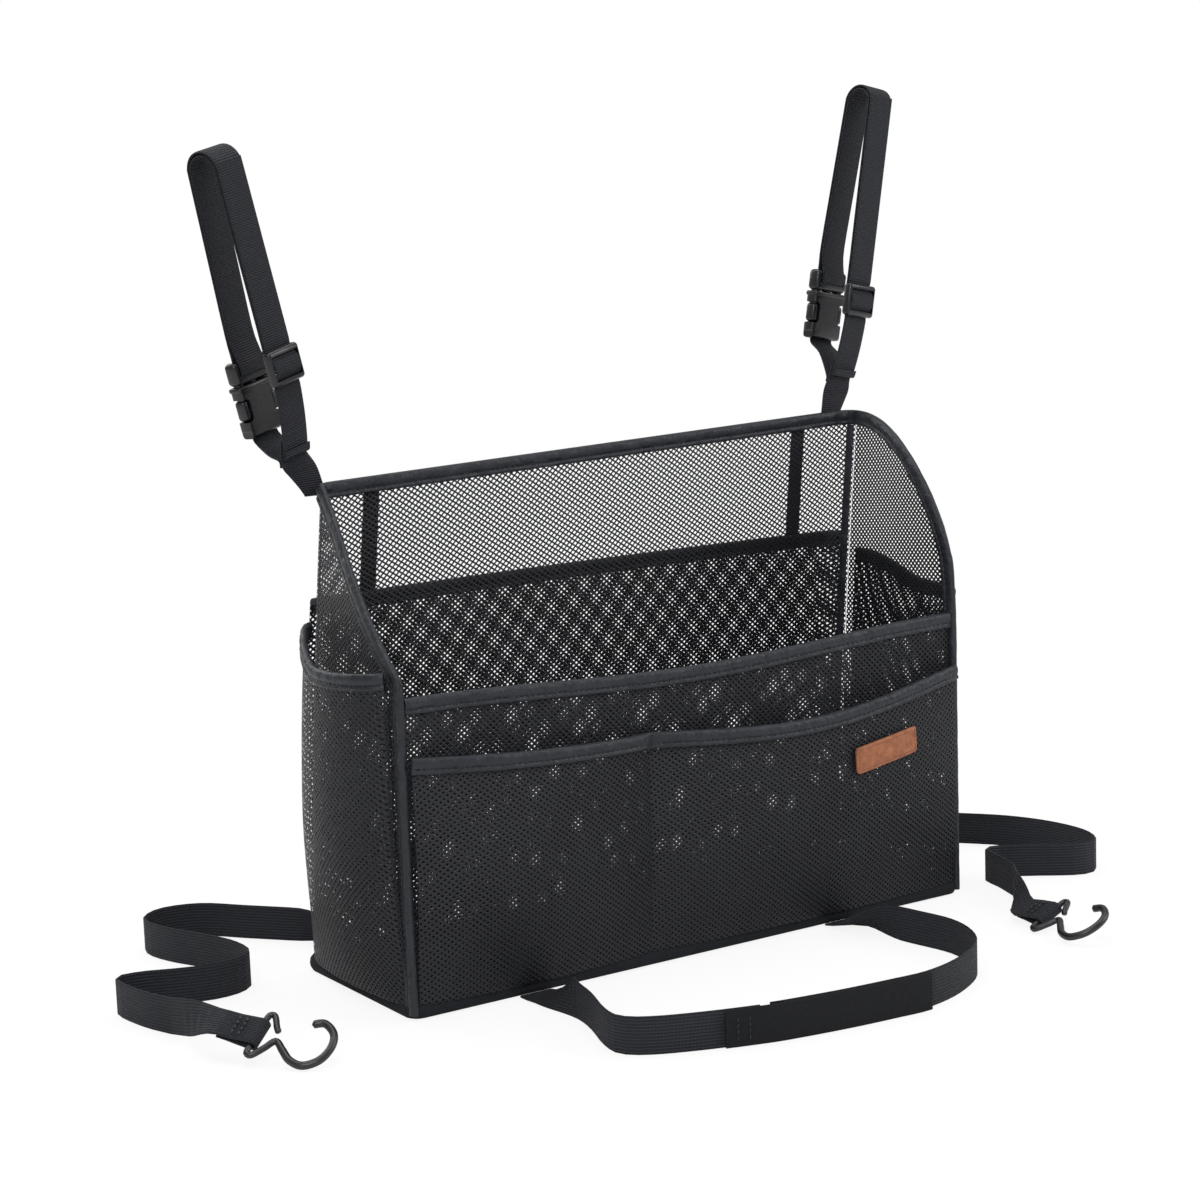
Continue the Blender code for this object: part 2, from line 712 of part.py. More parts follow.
def hanger_line(spec):
    """Side view of the doubled webbing as (y, z), from the sewn foot to the slider's bar."""
    layer = WEBBING + LAYER_GAP
    radius = LOOP_DEPTH / 2
    top = spec["top"] - radius - WEBBING / 2
    bar_z = spec["buckle"] + CAP_LENGTH / 2
    back = BUCKLE_STAND
    line = [(0, 0.001), (0, 0.012), (0, 0.024), (0, 0.036), (0, spec["slider"]), (0, 0.085), (0, 0.115)]
    line += arc_points(radius, top, radius, 180, 0, 12)
    line += [(mix(LOOP_DEPTH, back, share), mix(top, bar_z + 0.022, share)) for share in LEG_SHARES]
    line += [(back, bar_z + 0.010)]
    wrap = CAP_BAR / 2 + GAP + WEBBING / 2
    line += arc_points(back - wrap, bar_z, wrap, 0, -180, 6)
    inner_back = back - layer
    line += [(back - 2 * wrap, bar_z + 0.004), (inner_back - 0.0012, bar_z + 0.010)]
    line += [(mix(LOOP_DEPTH, back, share) - layer, mix(top, bar_z + 0.022, share))
             for share in reversed(LEG_SHARES)]
    line += arc_points(radius, top, radius - layer, 0, 180, 12)
    behind_bar = SLIDER_BAR_Y + SLIDER_BAR / 2 + GAP + WEBBING / 2
    line += [(layer, 0.115), (layer, 0.085), (layer, spec["slider"] + 0.016),
             (behind_bar, spec["slider"] + 0.007), (behind_bar, spec["slider"] - 0.004)]
    return line


def make_hanger(side, webbing, plastic):
    spec = HANGERS[side]
    frame = hanger_frame(side)
    across = frame.to_3x3() @ Vector((WEBBING_WIDTH, 0, 0))
    line = [frame @ Vector((foot_offset(spec, y, z), y, z)) for y, z in hanger_line(spec)]
    strip(side + "_hanger_webbing", line, [across] * len(line), WEBBING, webbing)

    edge = back_top(math.copysign(WALL_X, spec["anchor_x"]))
    layer = WEBBING + GAP
    sewn = Vector((spec["anchor_x"], STRAP_Y, edge - ANCHOR_DROP))
    end = frame @ Vector((foot_offset(spec, 0, 0.010), layer, 0.010))
    middle = frame @ Vector((spec["foot_shift"], layer, 0))
    route = smooth_route([sewn, sewn + Vector((0, 0, 0.012)), middle, end], 12)
    flat = Vector((1, 0, 0))
    lean = Vector((math.cos(math.radians(spec["lean_deg"])), 0, -math.sin(math.radians(spec["lean_deg"]))))
    widths = []
    for step in range(13):
        level = flat.lerp(lean, ease(step / 12))
        turned = level.lerp(across.normalized(), ease((step / 12 - TWIST_FROM) / TWIST_SPAN))
        widths.append(turned.normalized() * WEBBING_WIDTH)
    strip(side + "_anchor_webbing", route, widths, WEBBING, webbing)

    slot_z = spec["buckle"] - BODY_LENGTH + CAP_SLOT
    start_y = 2 * layer + 2 * GAP
    shift = spec["foot_shift"]
    tail = [(shift, start_y, -0.004), (shift, start_y, 0.000),
            (shift / 2, BUCKLE_STAND * 0.55, slot_z - 0.014),
            (0, BUCKLE_STAND * 0.97, slot_z - 0.0075), (0, BUCKLE_STAND, slot_z - 0.003),
            (0, BUCKLE_STAND, slot_z + 0.001)]
    points = smooth_route([frame @ Vector(point) for point in tail], 10)
    strip(side + "_tail_webbing", points, [across] * 11, WEBBING, webbing)

    make_slider(side + "_slider", frame @ Matrix.Translation((0, 0, spec["slider"])), plastic)
    make_buckle(side, frame @ Matrix.Translation((0, BUCKLE_STAND, spec["buckle"])), plastic)


def make_slider(name, place, finish):
    """Three-bar slider: two rails in front of the webbing, the centre bar behind it."""
    rail = SLIDER_BAR
    rail_y = -WEBBING / 2 - GAP - rail / 2
    depth = SLIDER_BAR_Y - rail_y + rail
    cheek = (SLIDER_WIDTH - WEBBING_WIDTH) / 2 - 2 * GAP
    cheek_y = (SLIDER_BAR_Y + rail_y) / 2
    cheek_x = SLIDER_WIDTH / 2 - cheek / 2
    start = block((cheek, depth, SLIDER_HEIGHT), (-cheek_x, cheek_y, 0), 0.0008)
    steps = [("UNION", block((cheek, depth, SLIDER_HEIGHT), (cheek_x, cheek_y, 0), 0.0008))]
    for y, z in ((rail_y, SLIDER_HEIGHT / 2 - rail / 2), (rail_y, rail / 2 - SLIDER_HEIGHT / 2),
                 (SLIDER_BAR_Y, 0)):
        steps.append(("UNION", block((SLIDER_WIDTH - cheek, rail * 0.98, rail * 0.96), (0, y, z), 0.0005)))
    combine(name, start, steps, finish, place)


def make_buckle(side, place, finish):
    """Side-release buckle: a cap with two sprung prongs, clipped in a hollow body."""
    inner_width = BUCKLE_WIDTH - 2 * BUCKLE_WALL
    inner_depth = BUCKLE_THICKNESS - 2 * BUCKLE_WALL
    body_z = -BODY_LENGTH / 2 - GAP
    cavity = BODY_LENGTH - 2 * CAP_SLOT
    body = block((BUCKLE_WIDTH, BUCKLE_THICKNESS, BODY_LENGTH), (0, 0, body_z), 0.0016)
    cuts = [("DIFFERENCE", block((inner_width, inner_depth, 2 * cavity), (0, 0, 0)))]
    window_z = -0.45 * BODY_LENGTH
    for way in (-1, 1):
        window = block((2 * PRONG_WIDTH, BUCKLE_THICKNESS * 0.7, WINDOW_LENGTH),
                       (way * BUCKLE_WIDTH / 2, 0, window_z), 0.0008)
        cuts.append(("DIFFERENCE", window))
    slot_z = -BODY_LENGTH + CAP_SLOT
    cuts.append(("DIFFERENCE", block((WEBBING_WIDTH + 0.002, CAP_SLOT, 4 * CAP_SLOT),
                                     (0, 0, slot_z - 1.2 * CAP_SLOT))))
    combine(side + "_buckle_body", body, cuts, finish, place)

    cap = block((BUCKLE_WIDTH, BUCKLE_THICKNESS, CAP_LENGTH), (0, 0, CAP_LENGTH / 2), 0.0016)
    opening = WEBBING_WIDTH + 0.002
    floor = CAP_LENGTH / 2 - CAP_BAR / 2 - WEBBING - 2 * GAP - 0.0004
    slots = [("DIFFERENCE", block((opening, 2 * BUCKLE_THICKNESS, CAP_LENGTH),
                                  (0, 0, floor + CAP_LENGTH / 2))),
             ("UNION", block((opening + 0.003, CAP_BAR, CAP_BAR * 0.98),
                             (0, CAP_BAR_Y, CAP_LENGTH / 2), 0.0008))]
    root = floor * 0.7
    depth = inner_depth - 2 * GAP
    prongs = ((-1, PRONG_LENGTH), (0, PRONG_LENGTH * 0.75), (1, PRONG_LENGTH))
    for way, reach in prongs:
        prong_x = way * (inner_width / 2 - GAP - PRONG_WIDTH / 2)
        slots.append(("UNION", block((PRONG_WIDTH, depth, reach + root),
                                     (prong_x, 0, (root - reach) / 2), 0.0006)))
    combine(side + "_buckle_latch", cap, slots, finish, place)


def hook_axes(side):
    """Place and directions of a hook lying on the floor: bar centre, across the bar and along it.

    The bar and the reach are given across, away from and above a viewer at VIEW_DEG.
    """
    spec = HOOKS[side]
    view = math.radians(VIEW_DEG)
    level = Vector((math.cos(view), math.sin(view), 0))
    away = Vector((-math.sin(view), math.cos(view), 0))

    def turned(parts):
        return level * parts[0] + away * parts[1] + Vector((0, 0, parts[2]))

    along = turned(spec["bar"]).normalized()
    reach = turned(spec["reach"])
    across = (reach - along * reach.dot(along)).normalized()
    lower_ring = [(p, -q) for p, q in HOOK_RING]
    lowest = min(across.z * p + along.z * q for p, q in lower_ring + HOOK_CURL)
    x, y = spec["centre"]
    return Vector((x, y, WIRE / 2 + 2 * FLOOR_CLEARANCE - lowest)), across, along


def make_hook(side, finish):
    """Wire bent into a triangular ring and an open curl.

    The ring starts beside the stem and closes on it, as the real wire does.
    """
    centre, across, along = hook_axes(side)
    stem = HOOK_RING[-1][0]
    start = (stem - 0.0010, 0.0040)
    upper = [point for point in reversed(HOOK_RING[1:-1])]
    lower = [(p, -q) for p, q in HOOK_RING[1:-1]]
    flat = [start] + upper + HOOK_RING[:1] + lower + [(stem, -0.0012)] + HOOK_CURL
    route = smooth_route([centre + across * p + along * q for p, q in flat], 64)
    normal = across.cross(along)
    section = []
    for step in range(8):
        angle = 2 * math.pi * step / 8
        section.append((WIRE / 2 * math.cos(angle), WIRE / 2 * math.sin(angle)))
    stations = [(place, normal, way.cross(normal)) for place, way in zip(route, directions(route))]
    sweep(side + "_hook", section, stations, finish, smooth_angle=60)


def elastic_end(side):
    """The elastic's last stretch: a sleeve sewn round the hook's bar."""
    centre, across, along = hook_axes(side)
    up = across.cross(along)
    if up.z < 0:
        up = -up
    wrap = WIRE / 2 + 2 * GAP + ELASTIC / 2
    arrive = [centre - across * 0.024 + up * (wrap - 0.0012), centre - across * 0.012 + up * (wrap - 0.0006)]
    turn = []
    for step in range(9):
        angle = math.radians(90 - 180 * step / 8)
        turn.append(centre + across * (wrap * math.cos(angle)) + up * (wrap * math.sin(angle)))
    back = [centre - across * 0.008 - up * (wrap - 0.0004),
            centre - across * SLEEVE_LENGTH - up * (wrap - 0.0012)]
    return arrive, turn, back, along


def seam_lead(x, side):
    """Straight first stretch of an elastic where it leaves the foot, with side -1 at the front."""
    return [(x, side * (BAG_DEPTH / 2 + reach)) for reach in (3 * GAP, 0.008, 0.018)]


def standing_line(route, count, offset=0.0, flat_start=True, flat_end=False):
    """Points and width vectors of an elastic that stands on its edge along the floor.

    Where it is sewn to the bag's foot it lies flat, and it turns up over TWIST_LENGTH.
    """
    up = Vector((0, 0, 1))
    plan = smooth_route([(x, y, 0) for x, y in route], count)
    length = sum((after - before).length for before, after in zip(plan, plan[1:]))
    points = []
    widths = []
    for index, (place, way) in enumerate(zip(plan, directions(plan))):
        stood = 1.0
        if flat_start:
            stood = min(stood, ease(length * index / count / TWIST_LENGTH))
        if flat_end:
            stood = min(stood, ease(length * (count - index) / count / TWIST_LENGTH))
        aside = up.cross(way).normalized()
        angle = math.pi / 2 * stood
        widths.append((aside * math.cos(angle) + up * math.sin(angle)) * ELASTIC_WIDTH)
        rise = (ELASTIC_WIDTH * math.sin(angle) + ELASTIC * math.cos(angle)) / 2
        points.append(place + aside * offset * stood + up * (FLOOR_CLEARANCE + rise))
    return points, widths


def make_elastic(side, route, finish):
    """Elastic on its edge along the floor, then turned and gathered into its hook."""
    points, widths = standing_line(route, 56)
    arrive, turn, back, along = elastic_end(side)
    if along.z < 0:
        along = -along
    bend = smooth_route([points[-2], points[-1]] + arrive, 9)
    for index, place in enumerate(bend[3:]):
        share = ease((index + 1) / 6)
        points.append(place)
        size = mix(ELASTIC_WIDTH, GATHERED_WIDTH, share)
        widths.append(Vector((0, 0, 1)).lerp(along, share).normalized() * size)
    for place in turn + back:
        points.append(place)
        widths.append(along * GATHERED_WIDTH)
    strip(side + "_elastic", points, widths, ELASTIC, finish)


def make_front_strap(elastic, tape):
    """Two elastics sewn under the bag's front, joined by hook-and-loop tapes."""
    layer = ELASTIC + LAYER_GAP
    join = FRONT_JOIN
    left_lead = seam_lead(FRONT_SEAM_X[0], -1)
    right_lead = seam_lead(FRONT_SEAM_X[1], -1)
    route = left_lead + FRONT_ROUTE + right_lead[::-1]
    pieces = (("front_left_elastic", 0, join["left_to"], 0, elastic),
              ("front_hook_tape", join["hook_from"], join["tape_to"], -layer, tape),
              ("front_loop_tape", join["loop_from"], join["tape_to"], 0, tape),
              ("front_right_elastic", join["right_from"], FRONT_STEPS, layer, elastic))
    for name, first, last, offset, finish in pieces:
        points, widths = standing_line(route, FRONT_STEPS, offset, True, True)
        strip(name, points[first:last + 1], widths[first:last + 1], ELASTIC, finish)


def make_label(finish):
    """Bare leather patch sewn on the front pocket, following the net's bulge."""
    def point_at(u, v):
        x = LABEL_X + LABEL_WIDTH * (u - 0.5)
        z = LABEL_Z + LABEL_HEIGHT * (v - 0.5) + LABEL_RISE * (u - 0.5)
        share = (z - FOOT_TOP) / (pocket_top(x) - EDGE_DROP - FOOT_TOP)
        stand = NET / 2 + 2 * GAP + LABEL_THICKNESS / 2
        return Vector((x, pocket_y(x, share) - stand, z))

    sheet("label_patch", point_at, even(6), even(2), finish, LABEL_THICKNESS)


def make_tapes(finish):
    """Two upright tapes sewn on the outside of the back wall above the rear pocket."""
    for side in (-1, 1):
        low = REAR_POCKET_HEIGHT + 2 * GAP
        high = back_top(side * TAPE_X) - HEM_WIDTH - 2 * GAP
        y = WALL_Y + NET / 2 + GAP + TAPE_THICKNESS / 2
        points = [leaned(side * TAPE_X, y, mix(low, high, step / 4)) for step in range(5)]
        name = "left_back_tape" if side < 0 else "right_back_tape"
        strip(name, points, [Vector((TAPE_WIDTH, 0, 0))] * 5, TAPE_THICKNESS, finish)


def main():
    clear_scene()
    net = material("polyester_net", (0.014, 0.015, 0.019), 0.62)
    leather = material("coated_binding", (0.018, 0.019, 0.023), 0.42)
    board = material("base_board", (0.02, 0.021, 0.024), 0.6)
    tan = material("tan_leather", (0.34, 0.12, 0.045), 0.6)
    webbing = material("webbing", (0.016, 0.017, 0.020), 0.7)
    elastic = material("elastic", (0.011, 0.011, 0.012), 0.75)
    tape = material("hook_and_loop_tape", (0.012, 0.012, 0.013), 0.85)
    plastic = material("moulded_plastic", (0.014, 0.014, 0.017), 0.35)
    wire = material("coated_wire", (0.008, 0.008, 0.009), 0.3)
    make_base(board, leather)
    make_back_wall(net)
    make_top_binding(leather)
    for name, side in (("left", -1), ("right", 1)):
        make_side_wall(name + "_side_net", side, net)
        make_edge_binding(name + "_edge_binding", side, leather)
        make_side_pocket(name + "_side_pocket", side, net, leather)
    make_front_wall(net, leather)
    make_front_pocket(net, leather)
    make_rear_pocket(net, leather)
    make_label(tan)
    make_tapes(webbing)
    for side, route, seam_x in (("left", LEFT_ROUTE, LEFT_SEAM_X), ("right", RIGHT_ROUTE, RIGHT_SEAM_X)):
        make_hanger(side, webbing, plastic)
        make_hook(side, wire)
        make_elastic(side, seam_lead(seam_x, 1) + route, elastic)
    make_front_strap(elastic, tape)


main()
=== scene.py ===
import math

import bmesh
import bpy
from mathutils import Matrix, Vector


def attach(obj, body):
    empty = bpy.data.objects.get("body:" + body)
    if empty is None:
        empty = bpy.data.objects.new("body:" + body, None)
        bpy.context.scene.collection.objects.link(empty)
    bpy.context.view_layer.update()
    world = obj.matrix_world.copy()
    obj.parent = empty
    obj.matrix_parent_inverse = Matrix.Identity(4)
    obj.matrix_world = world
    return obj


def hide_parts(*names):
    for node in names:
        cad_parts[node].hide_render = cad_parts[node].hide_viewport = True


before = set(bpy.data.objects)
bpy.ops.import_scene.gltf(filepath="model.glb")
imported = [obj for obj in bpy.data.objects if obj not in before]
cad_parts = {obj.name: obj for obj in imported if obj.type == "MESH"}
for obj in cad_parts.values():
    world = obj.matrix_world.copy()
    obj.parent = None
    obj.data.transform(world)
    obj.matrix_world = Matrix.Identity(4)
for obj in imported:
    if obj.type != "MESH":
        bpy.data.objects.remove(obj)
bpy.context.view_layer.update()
bpy.ops.object.select_all(action="DESELECT")
print("frame loaded")

# camera: the main view's place, roll and lens
view = {"azimuth": -33.3, "elevation": 9.3, "roll": -2.0, "distance": 1.468,
        "target": (-0.022, 0.0, 0.197), "lens": 77.9, "sensor": 36.0}


def setCamera():
    turn = math.radians(view["azimuth"])
    rise = math.radians(view["elevation"])
    roll = math.radians(view["roll"])
    back = Vector((math.sin(turn) * math.cos(rise), -math.cos(turn) * math.cos(rise), math.sin(rise)))
    right = (-back).cross(Vector((0, 0, 1))).normalized()
    up = right.cross(-back)
    sideways = right * math.cos(roll) + up * math.sin(roll)
    upright = up * math.cos(roll) - right * math.sin(roll)
    place = Vector(view["target"]) + back * view["distance"]
    camera = bpy.data.objects.new("camera", bpy.data.cameras.new("camera"))
    bpy.context.collection.objects.link(camera)
    camera.data.lens = view["lens"]
    camera.data.sensor_width = view["sensor"]
    camera.matrix_world = Matrix.Translation(place) @ Matrix((sideways, upright, back)).transposed().to_4x4()
    bpy.context.scene.camera = camera


setCamera()

gap = 0.0003
bag = {"width": 0.380, "depth": 0.126, "frontRadius": 0.009, "backRadius": 0.014,
       "backHeight": 0.278, "backRise": 0.012, "lean": 0.020, "frontCorner": 0.172, "frontDip": 0.007,
       "slopeStart": 0.180, "leftSlope": 1.04, "rightSlope": 2.0, "sideCut": 0.29, "backCut": 0.286}
foot = {"height": 0.009, "thickness": 0.006, "underTurn": 0.007, "underGap": 0.0005}
hem = {"width": 0.009, "thickness": 0.0044, "slotDepth": 0.0065, "stitchAt": 0.0062, "stitchOut": 0.0016,
       "sink": 0.0040, "cornerDip": 0.0040, "cornerReach": 0.030,
       "face": [(0.0000, 0.0004), (0.0004, 0.0013), (0.0012, 0.0019), (0.0026, 0.0023), (0.0042, 0.0022),
                (0.0054, 0.0018), (0.0062, 0.0014), (0.0069, 0.0018), (0.0078, 0.0021), (0.0086, 0.0019),
                (0.0091, 0.0011)]}
# across and up shape a pocket's swell: a power, then a start, a span and a power
frontPocket = {"corner": 0.142, "tackHeight": 0.133, "tackX": -0.036, "leftSag": 0.001,
               "rightSag": 0.010, "bulge": 0.013, "across": 0.8, "up": (0.06, 0.74, 0.7),
               "pinch": 0.4, "pinchReach": 0.0035}
sidePocket = {"height": 0.186, "dip": 0.003, "rearLift": 0.012, "bulge": 0.018, "across": 0.65,
              "up": (0.05, 0.62, 0.5), "tuck": 0.003, "cut": 0.20}
rearPocket = {"height": 0.208, "bulge": 0.008, "across": 0.9, "up": (0.05, 0.6, 1), "netEnds": (-0.94, 0.97),
              "hemEnds": (0.036, 0.984)}
# one row of openings is pitchX apart, and the rows are half of pitchY apart
net = {"thickness": 0.0012, "pitchX": 0.0040, "pitchY": 0.0033, "open": 0.295, "frontOpen": 0.226,
       "trim": 0.0025}
label = {"width": 0.048, "height": 0.015, "thickness": 0.0016, "x": 0.122, "z": 0.101, "rise": 0.006}
webbing = {"width": 0.020, "thickness": 0.0014, "layerGap": 0.0005, "sewnShare": 0.70, "sewnShift": 0.003,
           "buckleStand": 0.027, "twistFrom": 0.45, "twistSpan": 0.30, "hem": 0.0045,
           "straight": (0.085, 0.115), "edge": 0.06}
hangers = {
    "left": {"foot": (-0.169, 0.290), "footShift": -0.008, "anchorX": -0.168, "leanDeg": -13.0,
             "yawDeg": 20.0, "slider": 0.049, "buckle": 0.042, "top": 0.171, "loopDepth": 0.0220,
             "anchorDrop": 0.007},
    "right": {"foot": (0.213, 0.303), "footShift": -0.007, "anchorX": 0.192, "leanDeg": 10.0,
              "yawDeg": 10.0, "slider": 0.0485, "buckle": 0.053, "top": 0.182, "loopDepth": 0.0205,
              "anchorDrop": 0.007},
}
buckle = {"width": 0.028, "thickness": 0.0086, "wall": 0.0014, "bodyLength": 0.030, "capLength": 0.013,
          "capSlot": 0.0044, "capBar": 0.0026, "prongWidth": 0.0046, "window": 0.013,
          "windowAt": 0.47}
slider = {"width": 0.0248, "height": 0.020, "bar": 0.0030, "back": 0.0022, "front": 0.0038,
          "bulge": 0.0034, "innerLayer": 0.0028}
tape = {"width": 0.010, "thickness": 0.0012, "x": 0.150}
elastic = {"width": 0.020, "thickness": 0.0013, "gathered": 0.016, "clearance": 0.0004,
           "sleeve": 0.020, "twist": 0.055, "tackRows": (0.0075, 0.0115),
           "seamWidth": 0.005, "seamThickness": 0.0008}
# length, thickness and pitch of each kind of stitch
stitch = {"hem": (0.0024, 0.0006, 0.0034), "tackUp": (0.0011, 0.0007, 0.0014),
          "tackCross": (0.0016, 0.0007, 0.0020), "label": (0.0014, 0.0005, 0.0021),
          "elastic": (0.0024, 0.0013, 0.0030), "front": (0.0024, 0.0009, 0.0032),
          "strap": (0.0022, 0.0007, 0.0030)}
hook = {
    "wire": 0.0036, "ringWire": 0.0034, "curlWire": 0.0042, "endStep": 0.0015, "thickens": (0.42, 0.14),
    "ring": [(0, 0), (0, 0.0108), (0.0012, 0.0132), (0.0036, 0.0127), (0.0076, 0.0068), (0.0112, 0.0016)],
    "curl": [(0.0170, -0.0052), (0.0235, -0.0098), (0.0312, -0.0106), (0.0378, -0.0048),
             (0.0398, 0.0042), (0.0372, 0.0122), (0.0300, 0.0168), (0.0238, 0.0142)],
    "left": {"centre": (-0.278, -0.0618), "bar": (0.0096, 0.018, 0.012), "reach": (0.027, 0, 0.002)},
    "right": {"centre": (0.1784, -0.1495), "bar": (0.018, 0.010, 0.010), "reach": (0.008, -0.022, -0.001)},
}
leftStrap = {"seamX": -0.150,
             "route": [(-0.1630, 0.1030), (-0.1881, 0.1337),
                       (-0.2071, 0.1560), (-0.2290, 0.1620), (-0.2440, 0.1530), (-0.2474, 0.1390),
                       (-0.2430, 0.1196), (-0.2345, 0.1000), (-0.2262, 0.0760), (-0.2262, 0.0540),
                       (-0.2365, 0.0430), (-0.2533, 0.0406), (-0.2730, 0.0465), (-0.2900, 0.0535),
                       (-0.3030, 0.0540), (-0.3062, 0.0440), (-0.3030, 0.0204), (-0.2970, 0.0020)]}
rightStrap = {"seamX": 0.140,
              "route": [(0.1530, 0.0990), (0.1800, 0.1030),
                        (0.2150, 0.0800), (0.2460, 0.0480), (0.2695, 0.0216), (0.2860, -0.0020),
                        (0.2955, -0.0300), (0.2960, -0.0580), (0.2860, -0.0770), (0.2710, -0.0790),
                        (0.2471, -0.0620), (0.2290, -0.0500), (0.2190, -0.0520), (0.2150, -0.0680),
                        (0.2085, -0.0880)]}
frontStrap = {"seamX": (-0.1140, 0.0940), "steps": 76,
              "leftTo": 29, "hookFrom": 26, "loopFrom": 31, "rightFrom": 30, "tapeTo": 45,
              "route": [(-0.1210, -0.1250),
                        (-0.1310, -0.1560), (-0.1322, -0.1720), (-0.1204, -0.1834), (-0.0950, -0.1945),
                        (-0.0659, -0.2039), (-0.0500, -0.2075), (-0.0200, -0.2122), (0.0090, -0.2150),
                        (0.0329, -0.2160), (0.0600, -0.2090), (0.0860, -0.1940), (0.1000, -0.1755),
                        (0.1062, -0.1516), (0.1020, -0.1229)]}

footTop = foot["height"] + gap
wallInset = foot["thickness"] / 2
wallX = bag["width"] / 2 - wallInset
wallY = bag["depth"] / 2 - wallInset
frontY = -bag["depth"] / 2
seamY = bag["depth"] / 2 - bag["backRadius"]
pocketFront = frontY + hem["width"] + gap
arcShare = 0.05  # of the back wall's length, for each rounded corner
edgeDrop = hem["width"] - hem["slotDepth"] + gap
strapY = wallY + hem["thickness"] / 2 + gap + webbing["thickness"] / 2
legShares = (0.3, 0.6, 1.0)
upright = Vector((0, 0, 1))


def mix(low, high, share):
    return low + (high - low) * share


def clamped(share):
    return min(max(share, 0.0), 1.0)


def ease(share):
    share = clamped(share)
    return share * share * (3 - 2 * share)


def arch(share, power=1):
    return math.sin(math.pi * share) ** power


def curveThrough(points, steps):
    knots = [Vector(point) for point in points]
    ends = [2 * knots[0] - knots[1]] + knots + [2 * knots[-1] - knots[-2]]
    fine = []
    for index in range(1, len(ends) - 2):
        before, start, end, after = ends[index - 1:index + 3]
        for step in range(steps):
            t = step / steps
            fine.append(0.5 * (2 * start + (end - before) * t
                               + (2 * before - 5 * start + 4 * end - after) * t ** 2
                               + (3 * start - before - 3 * end + after) * t ** 3))
    fine.append(knots[-1])
    return fine


def runLengths(points):
    lengths = [0.0]
    for here, there in zip(points, points[1:]):
        lengths.append(lengths[-1] + (there - here).length)
    return lengths


def smoothRoute(points, count):
    fine = curveThrough(points, 24)
    lengths = runLengths(fine)
    spaced = []
    place = 0
    for step in range(count + 1):
        target = lengths[-1] * step / count
        while place < len(lengths) - 2 and lengths[place + 1] < target:
            place += 1
        span = lengths[place + 1] - lengths[place]
        spaced.append(fine[place].lerp(fine[place + 1], (target - lengths[place]) / span))
    return spaced


def directions(points):
    last = len(points) - 1
    return [(points[min(index + 1, last)] - points[max(index - 1, 0)]).normalized()
            for index in range(last + 1)]


def leanAt(y, z):
    stiffFront = 2 * hem["width"]
    share = ease((y - frontY - stiffFront / 2) / (bag["depth"] - stiffFront / 2))
    return bag["lean"] * max(z / bag["backHeight"], 0.0) ** 1.5 * share


def leaned(x, y, z):
    return Vector((x + leanAt(y, z), y, z))


def alongWall(place, dy, dz):
    reach = 0.003
    shift = leanAt(place.y + dy * reach, place.z + dz * reach) - leanAt(place.y, place.z)
    return Vector((shift / reach, dy, dz)).normalized()


def backTop(x):
    return bag["backHeight"] + bag["backRise"] * x / bag["width"]


def sideTop(side, y):
    share = clamped((y - frontY) / (seamY - frontY))
    power = bag["leftSlope"] if side < 0 else bag["rightSlope"]
    rise = backTop(side * wallX) - bag["slopeStart"]
    return bag["slopeStart"] + rise * (1 - (1 - share) ** power) ** (1 / power)


def frontTop(x):
    return bag["frontCorner"] - bag["frontDip"] * math.cos(math.pi * x / (2 * wallX)) ** 2


def acrossPocket(x):
    # how far x lies along its own half of the front pocket, which is tacked down at tackX
    tackX = frontPocket["tackX"]
    return (x + wallX) / (tackX + wallX) if x < tackX else (x - tackX) / (wallX - tackX)


def pocketTop(x):
    share = acrossPocket(x)
    corner, tacked = frontPocket["corner"], frontPocket["tackHeight"]
    if x < frontPocket["tackX"]:
        return mix(corner, tacked, share) - frontPocket["leftSag"] * arch(share)
    return mix(tacked, corner, share) - frontPocket["rightSag"] * arch(share, 1.2)


def fullness(pocket, across, heightShare):
    # how far a net pocket swells, arched between its seams and up its height
    start, span, power = pocket["up"]
    return pocket["bulge"] * arch(across, pocket["across"]) * arch(start + span * heightShare, power)


def standOff(heightShare):
    # a pocket lies on its wall at the foot, and stands off it by the tape's thickness further up
    return net["thickness"] + gap + (hem["thickness"] - net["thickness"] + gap) * ease(2 * heightShare)


def pocketY(x, heightShare):
    flat = -wallY - hem["thickness"] - gap
    base = -wallY - net["thickness"] - 2 * gap
    swell = fullness(frontPocket, clamped(acrossPocket(x)), heightShare)
    return mix(base, flat, ease(2 * heightShare)) - swell


def sidePocketTop(y):
    share = (y + wallY) / (seamY + wallY)
    dip = sidePocket["dip"] * arch(min(share, 1.0))
    return sidePocket["height"] - dip + sidePocket["rearLift"] * ease(2 * share - 1)


def sidePocketX(side, y, heightShare):
    swell = fullness(sidePocket, clamped((y - pocketFront) / (seamY - pocketFront)), heightShare)
    return side * (wallX + standOff(heightShare) + swell)


def rearPocketInset(share, heightShare):
    return wallInset - standOff(heightShare) - fullness(rearPocket, share, heightShare)


def planLoop(turns):
    halfX, halfY = bag["width"] / 2, bag["depth"] / 2
    front, back = bag["frontRadius"], bag["backRadius"]
    loop = []
    for x, y, radius, start in ((halfX, -halfY, front, -90), (halfX, halfY, back, 0),
                                (-halfX, halfY, back, 90), (-halfX, -halfY, front, 180)):
        centre = Vector((x - math.copysign(radius, x), y - math.copysign(radius, y), 0))
        for step in range(turns + 1):
            angle = math.radians(start + 90 * step / turns)
            out = Vector((math.cos(angle), math.sin(angle), 0))
            loop.append((centre + out * radius, out))
    return loop


